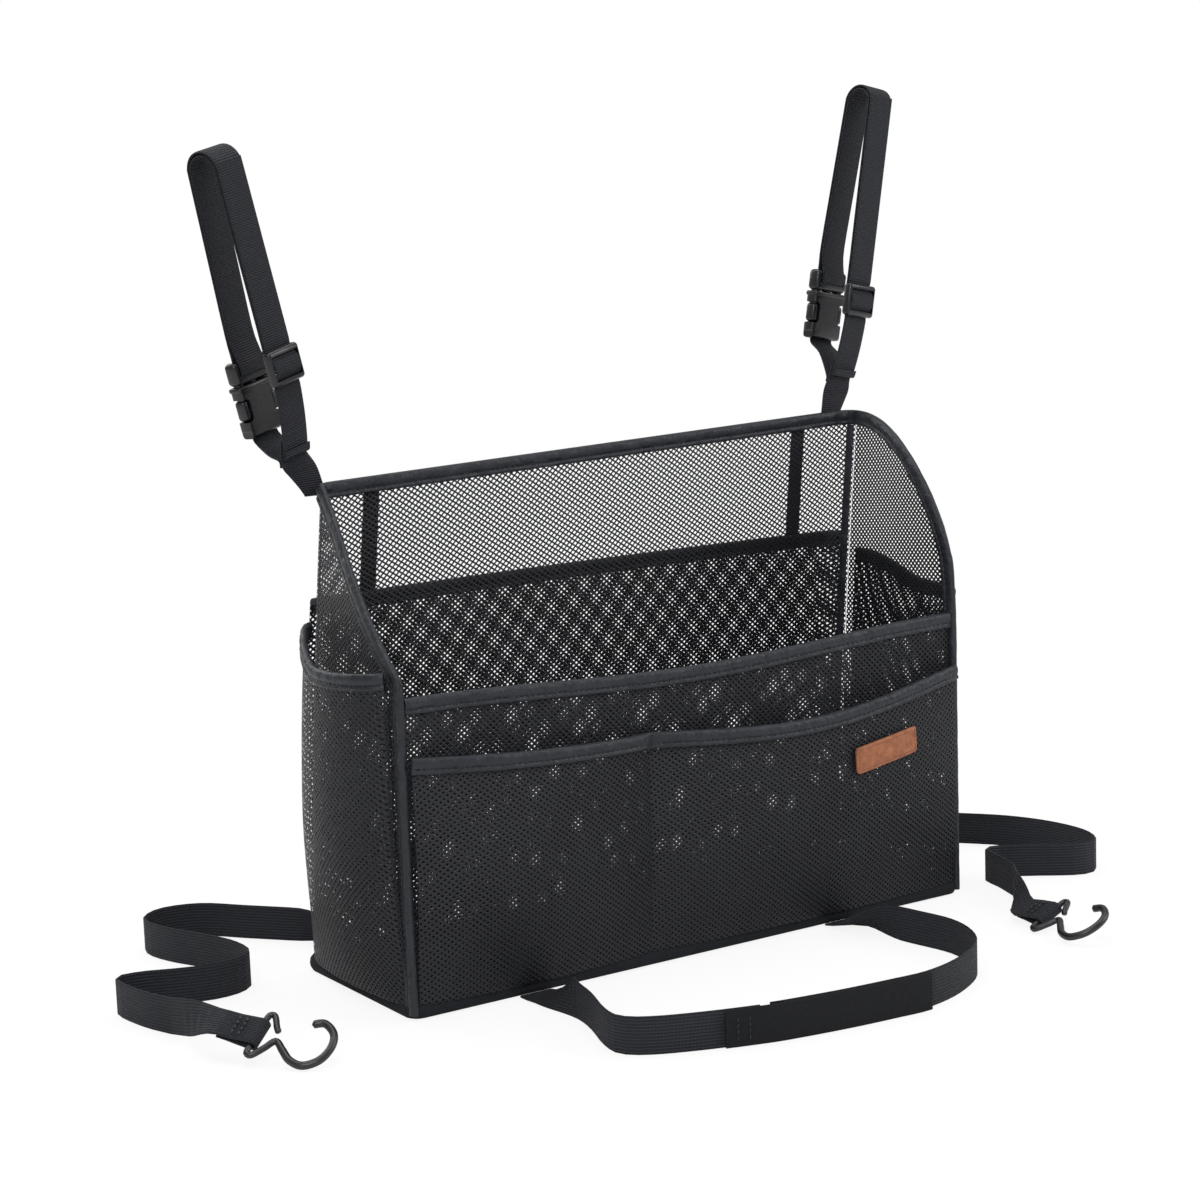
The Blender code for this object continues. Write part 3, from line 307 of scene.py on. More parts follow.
def backPlan(share, inset=wallInset):
    radius = bag["backRadius"] - inset
    straight = bag["width"] - 2 * bag["backRadius"]
    if share < arcShare:
        angle = math.pi * (1 - share / arcShare / 2)
        centreX = -straight / 2
    elif share > 1 - arcShare:
        angle = math.pi * (1 - share) / arcShare / 2
        centreX = straight / 2
    else:
        return straight * ((share - arcShare) / (1 - 2 * arcShare) - 0.5), seamY + radius
    return centreX + radius * math.cos(angle), seamY + radius * math.sin(angle)


def backSeam(share):
    return mix(0.0015, 0.9985, share)  # the back wall stops just short of its two corner seams


def slopeAt(side, y):
    step = 0.0005
    near = max(y - step, frontY + step)
    return min((sideTop(side, near + step) - sideTop(side, near)) / step, 4.0)


def hangerFrame(side):
    spec = hangers[side]
    x, z = spec["foot"]
    yaw = math.radians(spec["yawDeg"])
    turn = Matrix.Rotation(math.radians(spec["leanDeg"]), 4, "Y") @ Matrix.Rotation(yaw, 4, "Z")
    return Matrix.Translation((x, strapY - spec["footShift"] * math.sin(yaw), z)) @ turn


def arcPoints(centreY, centreZ, radius, startDeg, endDeg, steps):
    found = []
    for step in range(steps + 1):
        angle = math.radians(mix(startDeg, endDeg, step / steps))
        found.append((centreY + radius * math.cos(angle), centreZ + radius * math.sin(angle)))
    return found


def footOffset(spec, y, z):
    if y > webbing["thickness"] or z > spec["slider"]:
        return 0.0
    return spec["footShift"] * (1 - z / spec["slider"]) ** 2


def hangerLine(spec):
    # one webbing from its folded foot up through the slider, over the top, round the buckle's bar and back
    layer = webbing["thickness"] + webbing["layerGap"]
    depth = spec["loopDepth"]
    radius = depth / 2
    top = spec["top"] - radius - webbing["thickness"] / 2
    barZ = spec["buckle"] + buckle["capLength"] / 2
    back = webbing["buckleStand"]
    bar = spec["slider"]
    rail = (slider["height"] - slider["bar"]) / 2
    low, high = webbing["straight"]
    hump = -slider["bulge"]
    wrap = buckle["capBar"] / 2 + gap + webbing["thickness"] / 2
    legs = [(mix(depth, back, share), mix(top, barZ + 0.022, share)) for share in legShares]
    line = [(-layer * 0.9, webbing["hem"]), (-layer * 0.9, 0.0014), (-layer * 0.5, 0.0006), (0, 0.0014),
            (0, 0.006), (0, 0.014), (0, 0.022), (0, bar - 0.018), (0, bar - 0.012), (0.0002, bar - rail),
            (hump, bar - 0.0032), (hump, bar + 0.0032), (0.0002, bar + rail),
            (0, bar + 0.013), (0, bar + 0.020), (0, low), (0, high)]
    line += arcPoints(radius, top, radius, 180, 0, 12) + legs + [(back, barZ + 0.010)]
    line += arcPoints(back - wrap, barZ, wrap, 0, -180, 6)
    line += [(back - 2 * wrap, barZ + 0.004), (back - layer - 0.0012, barZ + 0.010)]
    line += [(y - layer, z) for y, z in reversed(legs)]
    line += arcPoints(radius, top, radius - layer, 0, 180, 12)
    line += [(layer, high), (layer, low), (layer, bar + 0.020), (layer + 0.0002, bar + rail),
             (slider["innerLayer"], bar + 0.0015), (slider["innerLayer"], bar - 0.0035)]
    return line


def hookAxes(side):
    # a hook's middle, its way across from the bar to the curl, and its way along the bar
    spec = hook[side]
    turn = math.radians(view["azimuth"])
    level = Vector((math.cos(turn), math.sin(turn), 0))
    away = Vector((-math.sin(turn), math.cos(turn), 0))
    bar, reach = (level * a + away * b + Vector((0, 0, c)) for a, b, c in (spec["bar"], spec["reach"]))
    along = bar.normalized()
    across = (reach - along * reach.dot(along)).normalized()
    lowerRing = [(p, -q) for p, q in hook["ring"]]
    lowest = min(across.z * p + along.z * q for p, q in lowerRing + hook["curl"])
    x, y = spec["centre"]
    return Vector((x, y, hook["wire"] / 2 + 2 * elastic["clearance"] - lowest)), across, along


def elasticEnd(side):
    centre, across, along = hookAxes(side)
    up = across.cross(along)
    if up.z < 0:
        up = -up
    wrap = hook["wire"] / 2 + 2 * gap + elastic["thickness"] / 2
    near = elastic["thickness"] / 2 + gap / 2
    arrive = [centre - across * 0.024 + up * near, centre - across * 0.012 + up * mix(near, wrap, 0.3)]
    turn = []
    for step in range(9):
        angle = math.radians(90 - 180 * step / 8)
        turn.append(centre + across * (wrap * math.cos(angle)) + up * (wrap * math.sin(angle)))
    back = [centre - across * reach - up * mix(near, wrap, share)
            for reach, share in ((0.008, 0.6), (0.014, 0.2), (elastic["sleeve"], 0))]
    return arrive, turn, back, along


def seamLead(x, side):
    return [(x, side * (bag["depth"] / 2 + reach)) for reach in (3 * gap, 0.008, 0.018)]


def standingLine(route, count, offset=0.0, flatEnd=False):
    # an elastic along the floor: flat where it is sewn on, then turned onto its edge over the twist's length
    plan = smoothRoute([(x, y, 0) for x, y in route], count)
    length = runLengths(plan)[-1]
    points = []
    widths = []
    for index, (place, way) in enumerate(zip(plan, directions(plan))):
        stood = ease(length * index / count / elastic["twist"])
        if flatEnd:
            stood = min(stood, ease(length * (count - index) / count / elastic["twist"]))
        aside = upright.cross(way).normalized()
        angle = math.pi / 2 * stood
        widths.append((aside * math.cos(angle) + upright * math.sin(angle)) * elastic["width"])
        rise = (elastic["width"] * math.sin(angle) + elastic["thickness"] * math.cos(angle)) / 2
        points.append(place + aside * offset * stood + upright * (elastic["clearance"] + rise))
    return points, widths


def linearColour(hexCode):
    parts = [int(hexCode[place:place + 2], 16) / 255 for place in (1, 3, 5)]
    return [part / 12.92 if part <= 0.04045 else ((part + 0.055) / 1.055) ** 2.4 for part in parts] + [1.0]


def addNode(tree, kind, values=None, links=None, out=0, stops=(), **settings):
    item = tree.nodes.new("ShaderNode" + kind)
    for name, setting in settings.items():
        setattr(item, name, setting)
    for socket, value in (values or {}).items():
        item.inputs[socket].default_value = value
    for socket, source in (links or {}).items():
        tree.links.new(source, item.inputs[socket])
    for element, (place, hexCode) in zip(item.color_ramp.elements if stops else (), stops):
        element.position = place
        element.color = linearColour(hexCode)
    return item.outputs[out]


def startFinish(name, **settings):
    finish = bpy.data.materials.new(name)
    finish.use_nodes = True
    shader = finish.node_tree.nodes["Principled BSDF"]
    for socket, value in settings.items():
        shader.inputs[socket.replace("_", " ")].default_value = value
    return finish, finish.node_tree, shader


def endFinish(shader, tone, stops, bumps=(), gloss=None):
    # colour from a ramp over tone, roughness spread by tone over gloss, and each bump laid on the last
    tree = shader.id_data
    sources = {"Base Color": addNode(tree, "ValToRGB", links={"Fac": tone}, stops=stops)}
    if gloss is not None:
        spread = {"To Min": gloss[0], "To Max": gloss[1]}
        sources["Roughness"] = addNode(tree, "MapRange", spread, {"Value": tone})
    for height, strength, distance in bumps:
        links = {"Height": height}
        if "Normal" in sources:
            links["Normal"] = sources["Normal"]
        sources["Normal"] = addNode(tree, "Bump", {"Strength": strength, "Distance": distance}, links)
    for socket, source in sources.items():
        tree.links.new(source, shader.inputs[socket])


def meshFinish():
    # warp-knitted polyester mesh: matt dark yarn, rounded strands with a soft glint at each crossing
    finish, tree, shader = startFinish("warpKnittedPolyesterMesh", Roughness=0.5, Specular_IOR_Level=0.35)
    place = addNode(tree, "UVMap", uv_map="flat")
    waves = []
    for way in (1, -1):
        across = (2 * math.pi / net["pitchX"], way * 2 * math.pi / net["pitchY"], 0)
        turn = addNode(tree, "VectorMath", {1: across}, {0: place}, "Value", operation="DOT_PRODUCT")
        waves.append(addNode(tree, "Math", links={0: turn}, operation="COSINE"))
    ridge = addNode(tree, "Math", links={0: waves[0], 1: waves[1]}, operation="MINIMUM")
    yarn, cloud = (addNode(tree, "TexNoise", {"Scale": scale, "Detail": detail}, {"Vector": place}, "Fac")
                   for scale, detail in ((900.0, 2.0), (28.0, 3.0)))
    bumps = ((ridge, 0.9, -0.00035), (yarn, 0.35, 0.0001))
    endFinish(shader, cloud, ((0.3, "#0a0b10"), (0.7, "#13151d")), bumps)
    return finish


def bandFinish(name, dark, pale, ribLength, ribWidth, roughness, depth):
    # a woven band: ribs ribLength apart along it and ribWidth apart across it, read from its own UV map; its
    # colour is painted shade in the rib valleys and a painted highlight on the rib crests, mixed with random
    # fray tone
    finish, tree, shader = startFinish(name, Roughness=roughness, Specular_IOR_Level=0.3)
    place = addNode(tree, "UVMap", uv_map="flat")
    parts = addNode(tree, "SeparateXYZ", links={"Vector": place}).node
    heights = []
    for output, pitch in (("X", ribLength), ("Y", ribWidth)):
        turn = addNode(tree, "Math", {1: 2 * math.pi / pitch}, {0: parts.outputs[output]},
                       operation="MULTIPLY")
        wave = addNode(tree, "Math", links={0: turn}, operation="SINE")
        heights.append(addNode(tree, "MapRange", {"From Min": -1.0}, {"Value": wave}))
    weight = 2.2 if ribWidth > ribLength else 0.35  # of the ribs across beside those along
    fuzz = 0.8
    both = addNode(tree, "Math", {1: weight}, {0: heights[1]}, operation="MULTIPLY")
    weave = addNode(tree, "Math", links={0: heights[0], 1: both}, operation="ADD")
    fray = addNode(tree, "TexNoise", {"Scale": 650.0, "Detail": 3.0}, {"Vector": place}, "Fac")
    shade = addNode(tree, "Math", {1: fuzz}, {0: fray}, operation="MULTIPLY")
    # painted light: the rib height darkens the valleys as painted shade and lightens the crests as a painted
    # highlight, and the fray noise adds random yarn tone
    tone = addNode(tree, "Math", links={0: weave, 1: shade}, operation="ADD")
    spread = addNode(tree, "MapRange", {"From Max": 1 + weight + fuzz}, {"Value": tone})
    # dark is the painted shade of the rib valleys and pale the painted highlight of the rib crests, both
    # also spread by the fray tone
    endFinish(shader, spread, ((0.1, dark), (0.95, pale)), ((weave, 0.8, depth), (fray, 0.3, 0.0001)))
    return finish


def grainedFinish(name, dark, pale, grain, detail, coarse=0.5, ramp=(0.3, 0.7), relief=None, cells=None,
                  gloss=None, **settings):
    # soft noise, grain metres wide, shades colour, gloss and relief; cells lays fine pores over it
    finish, tree, shader = startFinish(name, **settings)
    place = addNode(tree, "TexCoord", out="Object")
    soft = addNode(tree, "TexNoise", {"Scale": 1 / grain, "Detail": detail, "Roughness": coarse},
                   {"Vector": place}, "Fac")
    bumps = [(soft, *relief)] if relief else []
    if cells:
        pores = addNode(tree, "TexVoronoi", {"Scale": 1 / cells[0]}, {"Vector": place}, "Distance")
        bumps.append((pores, *cells[1:]))
    endFinish(shader, soft, ((ramp[0], dark), (ramp[1], pale)), bumps, gloss)
    return finish


fibres = {"detail": 4.0, "coarse": 0.7, "relief": (0.7, 0.0004), "Roughness": 0.88,
          "Specular_IOR_Level": 0.25}
peel = {"detail": 3.0, "relief": (0.25, 0.0003), "IOR": 1.48}
ply = {"grain": 0.0004, "detail": 1.0, "ramp": (0.35, 0.65), "Roughness": 0.45}
knit = meshFinish()
# polyurethane-coated tape: embossed grain, a slight sheen and soft puckers
coated = grainedFinish("coatedTape", "#15171c", "#22252d", 0.011, 4.0, 0.6, (0.3, 0.75), (1.0, 0.0026),
                       (0.0008, 0.5, 0.00012), (0.36, 0.56), Specular_IOR_Level=0.35)
# both bands: rib crests painted pale and rib valleys painted dark, a painted highlight and painted shade
# over a random fray tone
woven = bandFinish("wovenPolyesterWebbing", "#08090d", "#22242d", 0.00135, 0.0010, 0.6, 0.0006)
ribbed = bandFinish("knittedElastic", "#0f1014", "#32343c", 0.0007, 0.0017, 0.7, 0.0004)
# short matt fibres, and then smooth semi-gloss mouldings with a faint orange peel
pile = grainedFinish("hookAndLoopPile", "#0b0c0e", "#1a1b1e", 0.0006, **fibres)
boardCloth = grainedFinish("clothOverBoard", "#101115", "#1c1e23", 0.0012, **fibres)
moulded = grainedFinish("mouldedAcetal", "#0b0c10", "#141519", 0.0016, gloss=(0.24, 0.38), **peel)
dipped = grainedFinish("dippedSteelWire", "#17181b", "#202124", 0.0010, gloss=(0.26, 0.40), **peel)
# vegetable-tanned split: warm brown, close pores and a mottled dye
tan = grainedFinish("tannedLeather", "#7a4226", "#a5673f", 0.004, 5.0, 0.65, (0.3, 0.72),
                    cells=(0.0006, 0.6, 0.00015), Roughness=0.62)
# twisted polyester sewing thread with a slight lustre
thread = grainedFinish("blackSewingThread", "#08090b", "#1e2026", **ply)
tanThread = grainedFinish("brownSewingThread", "#4a2717", "#7a452b", **ply)
print("finishes made")


def pick(piece):
    bpy.ops.object.select_all(action="DESELECT")
    piece.select_set(True)
    bpy.context.view_layer.objects.active = piece


def settle(piece, finish, smooth=None):
    bpy.context.collection.objects.link(piece)
    piece.data.materials.clear()
    piece.data.materials.append(finish)
    if smooth is not None:
        pick(piece)
        bpy.ops.object.shade_smooth_by_angle(angle=math.radians(smooth))
        piece.select_set(False)
    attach(piece, "bag")
    return piece


def keepPiece(name, shape, finish, smooth=None):
    mesh = bpy.data.meshes.new(name)
    shape.to_mesh(mesh)
    shape.free()
    return settle(bpy.data.objects.new(name, mesh), finish, smooth)


def sweepSection(name, section, stations, finish, closed=False):
    # carries a closed section, given along two directions, through the stations; UV follows both in metres
    shape = bmesh.new()
    flat = shape.loops.layers.uv.new("flat")
    rings = [[shape.verts.new(place + first * a + second * b) for a, b in section]
             for place, first, second in stations]
    lengths = runLengths([place for place, _, _ in stations + stations[:1]])
    sides = len(section)
    across = [0.0]
    first, second = stations[0][1:]
    for (a, b), (c, d) in zip(section, section[1:] + section[:1]):
        across.append(across[-1] + (first * (c - a) + second * (d - b)).length)
    count = len(rings) if closed else len(rings) - 1
    for step in range(count):
        low = rings[step]
        high = rings[(step + 1) % len(rings)]
        for index in range(sides):
            after = (index + 1) % sides
            face = shape.faces.new((low[index], low[after], high[after], high[index]))
            corners = ((step, index), (step, index + 1), (step + 1, index + 1), (step + 1, index))
            for loop, (along, around) in zip(face.loops, corners):
                loop[flat].uv = (lengths[along], across[around])
    if not closed:
        shape.faces.new(rings[0][::-1])
        shape.faces.new(rings[-1])
    bmesh.ops.recalc_face_normals(shape, faces=shape.faces)
    return keepPiece(name, shape, finish, 50)


def bandPiece(name, points, widths, thickness, finish, edge=0.04):
    # a flat band with rounded edges: the section is in shares of its width, and in metres through it
    half = thickness / 2
    face = [(-0.5, -half * 0.35), (-0.5 + edge * 0.35, -half * 0.85), (-0.5 + edge, -half),
            (0.5 - edge, -half), (0.5 - edge * 0.35, -half * 0.85), (0.5, -half * 0.35)]
    section = face + [(a, -b) for a, b in reversed(face)]
    stations = [(place, width, way.cross(width).normalized())
                for place, way, width in zip(points, directions(points), widths)]
    return sweepSection(name, section, stations, finish)


def stitchRow(name, spots, finish, kind="hem"):
    # one short rounded stitch, copied along the row; each spot is a place, its way along and its outer side
    length, thick, pitch = stitch[kind]
    spacing = runLengths([place for place, _, _ in spots])
    shape = bmesh.new()
    index = 0
    for count in range(1, int(spacing[-1] / pitch)):
        target = pitch * count
        while index < len(spacing) - 2 and spacing[index + 1] < target:
            index += 1
        share = (target - spacing[index]) / (spacing[index + 1] - spacing[index])
        middle = spots[index][0].lerp(spots[index + 1][0], share)
        way = (spots[index + 1][0] - spots[index][0]).normalized()
        out = spots[index][2]
        aside = way.cross(out).normalized()
        ends = []
        for reach, size, lift in ((-0.5, 0.3, 0.1), (-0.25, 1.0, 0.5), (0.25, 1.0, 0.5), (0.5, 0.3, 0.1)):
            centre = middle + way * reach * length + out * thick * (lift - 0.35)
            ends.append([shape.verts.new(centre + (aside * a + out * b) * thick / 2 * size)
                         for a, b in ((1, 0), (0, 1), (-1, 0), (0, -1))])
        for low, high in zip(ends, ends[1:]):
            for side in range(4):
                after = (side + 1) % 4
                shape.faces.new((low[side], low[after], high[after], high[side]))
        shape.faces.new(ends[0][::-1])
        shape.faces.new(ends[-1])
    bmesh.ops.recalc_face_normals(shape, faces=shape.faces)
    keepPiece(name, shape, finish, 60)


def netPiece(name, low, high, place, topAt, node, share, grain, trim=net["trim"]):
    # open diamond net over a flat cut from low to high: four-cornered openings in staggered rows, with two
    # strands and a crossing to each, turned by grain, cut off under topAt and laid on the surface of place
    halfX = net["pitchX"] * share
    halfY = net["pitchY"] * share
    middle = ((low[0] + high[0]) / 2, (low[1] + high[1]) / 2)
    turn = (math.cos(math.radians(grain)), math.sin(math.radians(grain)))
    reach = math.hypot(high[0] - low[0], high[1] - low[1]) / 2
    shape = bmesh.new()
    uv = shape.loops.layers.uv.new("flat")
    corners = {}

    def corner(column, row, way):
        key = (column, row, way)
        if key not in corners:
            p = (column + (row % 2) / 2) * net["pitchX"] + halfX * (way == 0) - halfX * (way == 2)
            q = row * net["pitchY"] / 2 + halfY * (way == 1) - halfY * (way == 3)
            x = middle[0] + p * turn[0] - q * turn[1]
            z = middle[1] + p * turn[1] + q * turn[0]
            inner = min(max(x, low[0]), high[0])
            fits = abs(inner - x) < net["pitchX"] and low[1] <= z <= high[1] and z <= topAt(inner) - trim
            spot = (inner, z)
            corners[key] = (shape.verts.new(place(inner, z)), (p, q), spot, inner != x) if fits else None
        return corners[key]

    columns = int(reach / net["pitchX"]) + 2
    rows = int(reach / net["pitchY"] * 2) + 2
    for row in range(-rows, rows + 1):
        shift = row % 2
        for column in range(-columns, columns + 1):
            east, west = column + shift, column + shift - 1
            quads = (((column, row, 0), (east, row + 1, 3), (east, row + 1, 2), (column, row, 1)),
                     ((column, row, 1), (west, row + 1, 0), (west, row + 1, 3), (column, row, 2)),
                     ((column, row, 0), (east, row - 1, 1), (column + 1, row, 2), (east, row + 1, 3)))
            for quad in quads:
                found = [corner(*key) for key in quad]
                if None in found or all(held for _, _, _, held in found):
                    continue
                face = shape.faces.new([vert for vert, _, _, _ in found])
                for loop, (_, weave, _, _) in zip(face.loops, found):
                    loop[uv].uv = weave
    loose = [vert for vert in shape.verts if not vert.link_faces]
    bmesh.ops.delete(shape, geom=loose, context="VERTS")
    piece = keepPiece(name, shape, knit)
    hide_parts(node)
    print(name, len(piece.data.polygons) * 2, "triangles")


def foldedTape(name, node, stitches, spine, ends=slice(None)):
    # folded tape over an edge, with a stitched groove and a raised lower lip on both faces; spine holds each
    # station's place, way along, way down from the edge, outward side and swell
    section = hem["face"] + [(a, -b) for a, b in reversed(hem["face"])]
    stations = [(place, down, out * swell) for place, _, down, out, swell in spine]
    piece = sweepSection(name, section, stations, coated)
    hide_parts(node)
    for face, side in (("Out", 1), ("In", -1)):
        row = [(place + down * hem["stitchAt"] + out * (side * hem["stitchOut"]) * swell, way, out * side)
               for place, way, down, out, swell in spine]
        stitchRow(stitches + face, row[ends], thread)


def puckered(slow, quick):
    return 1 + 0.05 * math.sin(slow) + 0.04 * math.sin(quick)


def hemPiece(name, pointAt, count, node, start=0.0, end=1.0, tack=None):
    # tape round the upper edge of a net, which pointAt gives along the edge and up the wall
    shares = [mix(start, end, step / count) for step in range(count + 1)]
    edge = [pointAt(share, 1.0) for share in shares]
    spine = []
    for share, spot, way in zip(shares, edge, directions(edge)):
        down = pointAt(share, 0.93) - spot
        facing = (down - way * way.dot(down)).normalized()
        swell = puckered(share * 61.0, share * 143.0)
        if tack is not None:
            swell *= 1 - frontPocket["pinch"] * math.exp(-((spot.x - tack) / frontPocket["pinchReach"]) ** 2)
        spine.append((spot - facing * edgeDrop, way, facing, way.cross(facing).normalized(), swell))
    foldedTape(name, node, name + "Stitches", spine)


def turnedUnder(z):
    return ease((footTop - z) / foot["underTurn"])  # below the foot's top the net turns under the board


def frontWallSpot(x, z):
    return Vector((x, -wallY, z))


def frontPocketSpot(x, z):
    y = pocketY(x, clamped((z - footTop) / (pocketTop(x) - edgeDrop - footTop)))
    return Vector((x, mix(y, -wallY + foot["underGap"], turnedUnder(z)), z))


def sideWallSpot(side):
    return lambda y, z: leaned(side * wallX, y, z)


def sidePocketSpot(side):
    def spot(y, z):
        x = sidePocketX(side, y, clamped((z - footTop) / (sidePocketTop(y) - edgeDrop - footTop)))
        return leaned(mix(x, side * (wallX - foot["underGap"]), turnedUnder(z)), y, z)
    return spot


backLength = (bag["width"] - 2 * bag["backRadius"]) / (1 - 2 * arcShare)


def backShare(distance):
    return backSeam(clamped(distance / backLength + 0.5))


def backWallSpot(distance, z):
    x, y = backPlan(backShare(distance))
    return leaned(x, y, z)


def rearPocketSpot(distance, z):
    share = backShare(distance)
    inset = rearPocketInset(share, clamped((z - footTop) / (rearPocket["height"] - edgeDrop - footTop)))
    x, y = backPlan(share, mix(inset, wallInset + foot["underGap"], turnedUnder(z)))
    return leaned(x, y, z)


frontEnd = wallX - hem["thickness"] / 2 - gap
sideFront = frontY + hem["width"] - hem["slotDepth"] + 4 * gap
sideBack = seamY
netFoot = 0.0030
backEnd = backLength / 2


def sideNetTop(side, y):
    # under the edge binding, whose slot is measured square to the slope, and lower still at the front corner
    dip = hem["cornerDip"] * max(0.0, 1 - (y - frontY) / hem["cornerReach"])
    return sideTop(side, y) - hem["sink"] * math.sqrt(1 + slopeAt(side, y) ** 2) - dip


netPiece("frontWallNet", (-frontEnd, netFoot), (frontEnd, bag["frontCorner"]), frontWallSpot, frontTop,
         "front_wall_net", net["frontOpen"], -5)
netPiece("frontPocketNet", (-frontEnd, netFoot), (frontEnd, frontPocket["corner"]), frontPocketSpot,
         pocketTop, "front_pocket_net", net["frontOpen"], 3)
for name, side in (("left", -1), ("right", 1)):
    netPiece(name + "SideNet", (sideFront, netFoot), (sideBack, bag["sideCut"]), sideWallSpot(side),
             lambda y, side=side: sideNetTop(side, y),
             name + "_side_net", net["frontOpen"], -7 * side, 0)
    netPiece(name + "SidePocketNet", (pocketFront - sidePocket["tuck"], netFoot),
             (sideBack, sidePocket["cut"]), sidePocketSpot(side), sidePocketTop,
             name + "_side_pocket_net",
             net["frontOpen"], 4 * side)
netPiece("backWallNet", (-backEnd, netFoot), (backEnd, bag["backCut"]), backWallSpot,
         lambda distance: backTop(backPlan(backShare(distance))[0]),
         "back_net_wall", net["open"], 8)
rearLeft, rearRight = (share * backEnd for share in rearPocket["netEnds"])
netPiece("rearPocketNet", (rearLeft, netFoot), (rearRight, rearPocket["height"]), rearPocketSpot,
         lambda distance: rearPocket["height"],
         "rear_pocket_net", net["frontOpen"], -4)
print("nets hung")


def frontWallHem(u, v):
    x = mix(-frontEnd, frontEnd, u)
    return Vector((x, -wallY, mix(footTop, frontTop(x) - edgeDrop, v)))


def frontPocketHem(u, v):
    x = mix(-frontEnd, frontEnd, u)
    return Vector((x, pocketY(x, v), mix(footTop, pocketTop(x) - edgeDrop, v)))


def rearPocketHem(u, v):
    share = backSeam(u)
    x, y = backPlan(share, rearPocketInset(share, v))
    return leaned(x, y, mix(footTop, rearPocket["height"] - edgeDrop, v))


def topHem(u, v):
    x, y = backPlan(backSeam(u))
    return leaned(x, y, mix(footTop, backTop(x) - edgeDrop, v))


def sidePocketHem(side):
    def spot(u, v):
        y = mix(pocketFront, sideBack, u)
        return leaned(sidePocketX(side, y, v), y, mix(footTop, sidePocketTop(y) - edgeDrop, v))
    return spot


hemPiece("frontWallBinding", frontWallHem, 110, "front_wall_binding")
hemPiece("frontPocketBinding", frontPocketHem, 160, "front_pocket_binding", tack=frontPocket["tackX"])
hemPiece("topBinding", topHem, 150, "top_binding")
hemPiece("rearPocketBinding", rearPocketHem, 150, "rear_pocket_binding", *rearPocket["hemEnds"])
for name, side in (("left", -1), ("right", 1)):
    hemPiece(name + "SidePocketBinding", sidePocketHem(side), 44, name + "_side_pocket_binding")


def tackStitches():
    # bar tack that holds the pocket's middle to the front wall
    top = frontPocketHem((frontPocket["tackX"] + frontEnd) / (2 * frontEnd), 1.0)
    facing = Vector((0, -1, 0))
    for name, shift in (("tackLeft", -0.0011), ("tackRight", 0.0011)):
        line = [(top + Vector((shift, -0.0019, 0.0012 - drop)), -upright, facing)
                for drop in (0.0, 0.004, 0.0085)]
        stitchRow(name, line, thread, "tackUp")
    line = [(top + Vector((reach, -0.0022, 0.0006)), Vector((1, 0, 0)), facing)
            for reach in (-0.0045, 0.0, 0.0045)]
    stitchRow("tackCross", line, thread, "tackCross")


tackStitches()
print("hems sewn")


def edgeBinding(name, side):
    # tape up the front corner and along the falling upper edge of a side wall
    line = [Vector((0, frontY, mix(netFoot, bag["slopeStart"] - 0.012, step / 6))) for step in range(7)]
    for step in range(1, 21):
        y = mix(frontY, seamY, (step / 20) ** 1.4)
        line.append(Vector((0, y, sideTop(side, y))))
    smooth = smoothRoute(line, 110)
    spine = []
    for index, (point, way) in enumerate(zip(smooth, directions(smooth))):
        place = leaned(side * wallX, point.y, point.z)
        inward = alongWall(place, way.z, -way.y)
        out = alongWall(place, way.y, way.z).cross(inward).normalized()
        spine.append((place, way, inward, out, puckered(index * 0.83, index * 1.9)))
    place, way, _, out, swell = spine[-1]
    mitre = alongWall(place, 0, -1) / way.y
    spine[-1] = (place - Vector((0, gap, 0)), way, mitre, out, swell)
    foldedTape(name + "EdgeBinding", name + "_edge_binding", name + "EdgeStitches", spine, slice(1, -2))


def cornerSeam(name, share):
    # narrow tape inside a back corner, over the seam of the side net and the back net
    x, y = backPlan(share, wallInset + net["thickness"] / 2 + elastic["seamThickness"] / 2 + gap)
    low, high = footTop, backTop(x) - hem["width"]
    after = Vector((*backPlan(share + 0.005), 0)) - Vector((*backPlan(share - 0.005), 0))
    widths = [after.normalized() * elastic["seamWidth"]] * 21
    points = [leaned(x, y, mix(low, high, step / 20)) for step in range(21)]
    bandPiece(name, points, widths, elastic["seamThickness"], coated)


edgeBinding("left", -1)
edgeBinding("right", 1)
cornerSeam("leftCornerSeam", 0.012)
cornerSeam("rightCornerSeam", 0.988)


def footPiece():
    # the foot's cloth turned over a soft cord under the nets, round in section
    soft = [(0.0060, 0.0003), (0.0034, 0.0002), (0.0014, 0.0009), (0.0003, 0.0028), (0.0000, 0.0048),
            (0.0004, 0.0070), (0.0018, 0.0086), (0.0040, 0.0090), (0.0060, 0.0088)]
    stations = [(place, -out, upright) for place, out in planLoop(8)]
    piece = sweepSection("footRoll", soft, stations, boardCloth, closed=True)
    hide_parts("foot_binding")


footPiece()
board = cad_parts["base_board"]
board.material_slots[0].material = boardCloth
print("bag closed")


def labelSpot(u, v, proud):
    x = label["x"] + label["width"] * (u - 0.5)
    z = label["z"] + label["height"] * (v - 0.5) + label["rise"] * (u - 0.5)
    share = (z - footTop) / (pocketTop(x) - edgeDrop - footTop)
    return Vector((x, pocketY(x, share) - net["thickness"] / 2 - 2 * gap - proud, z))


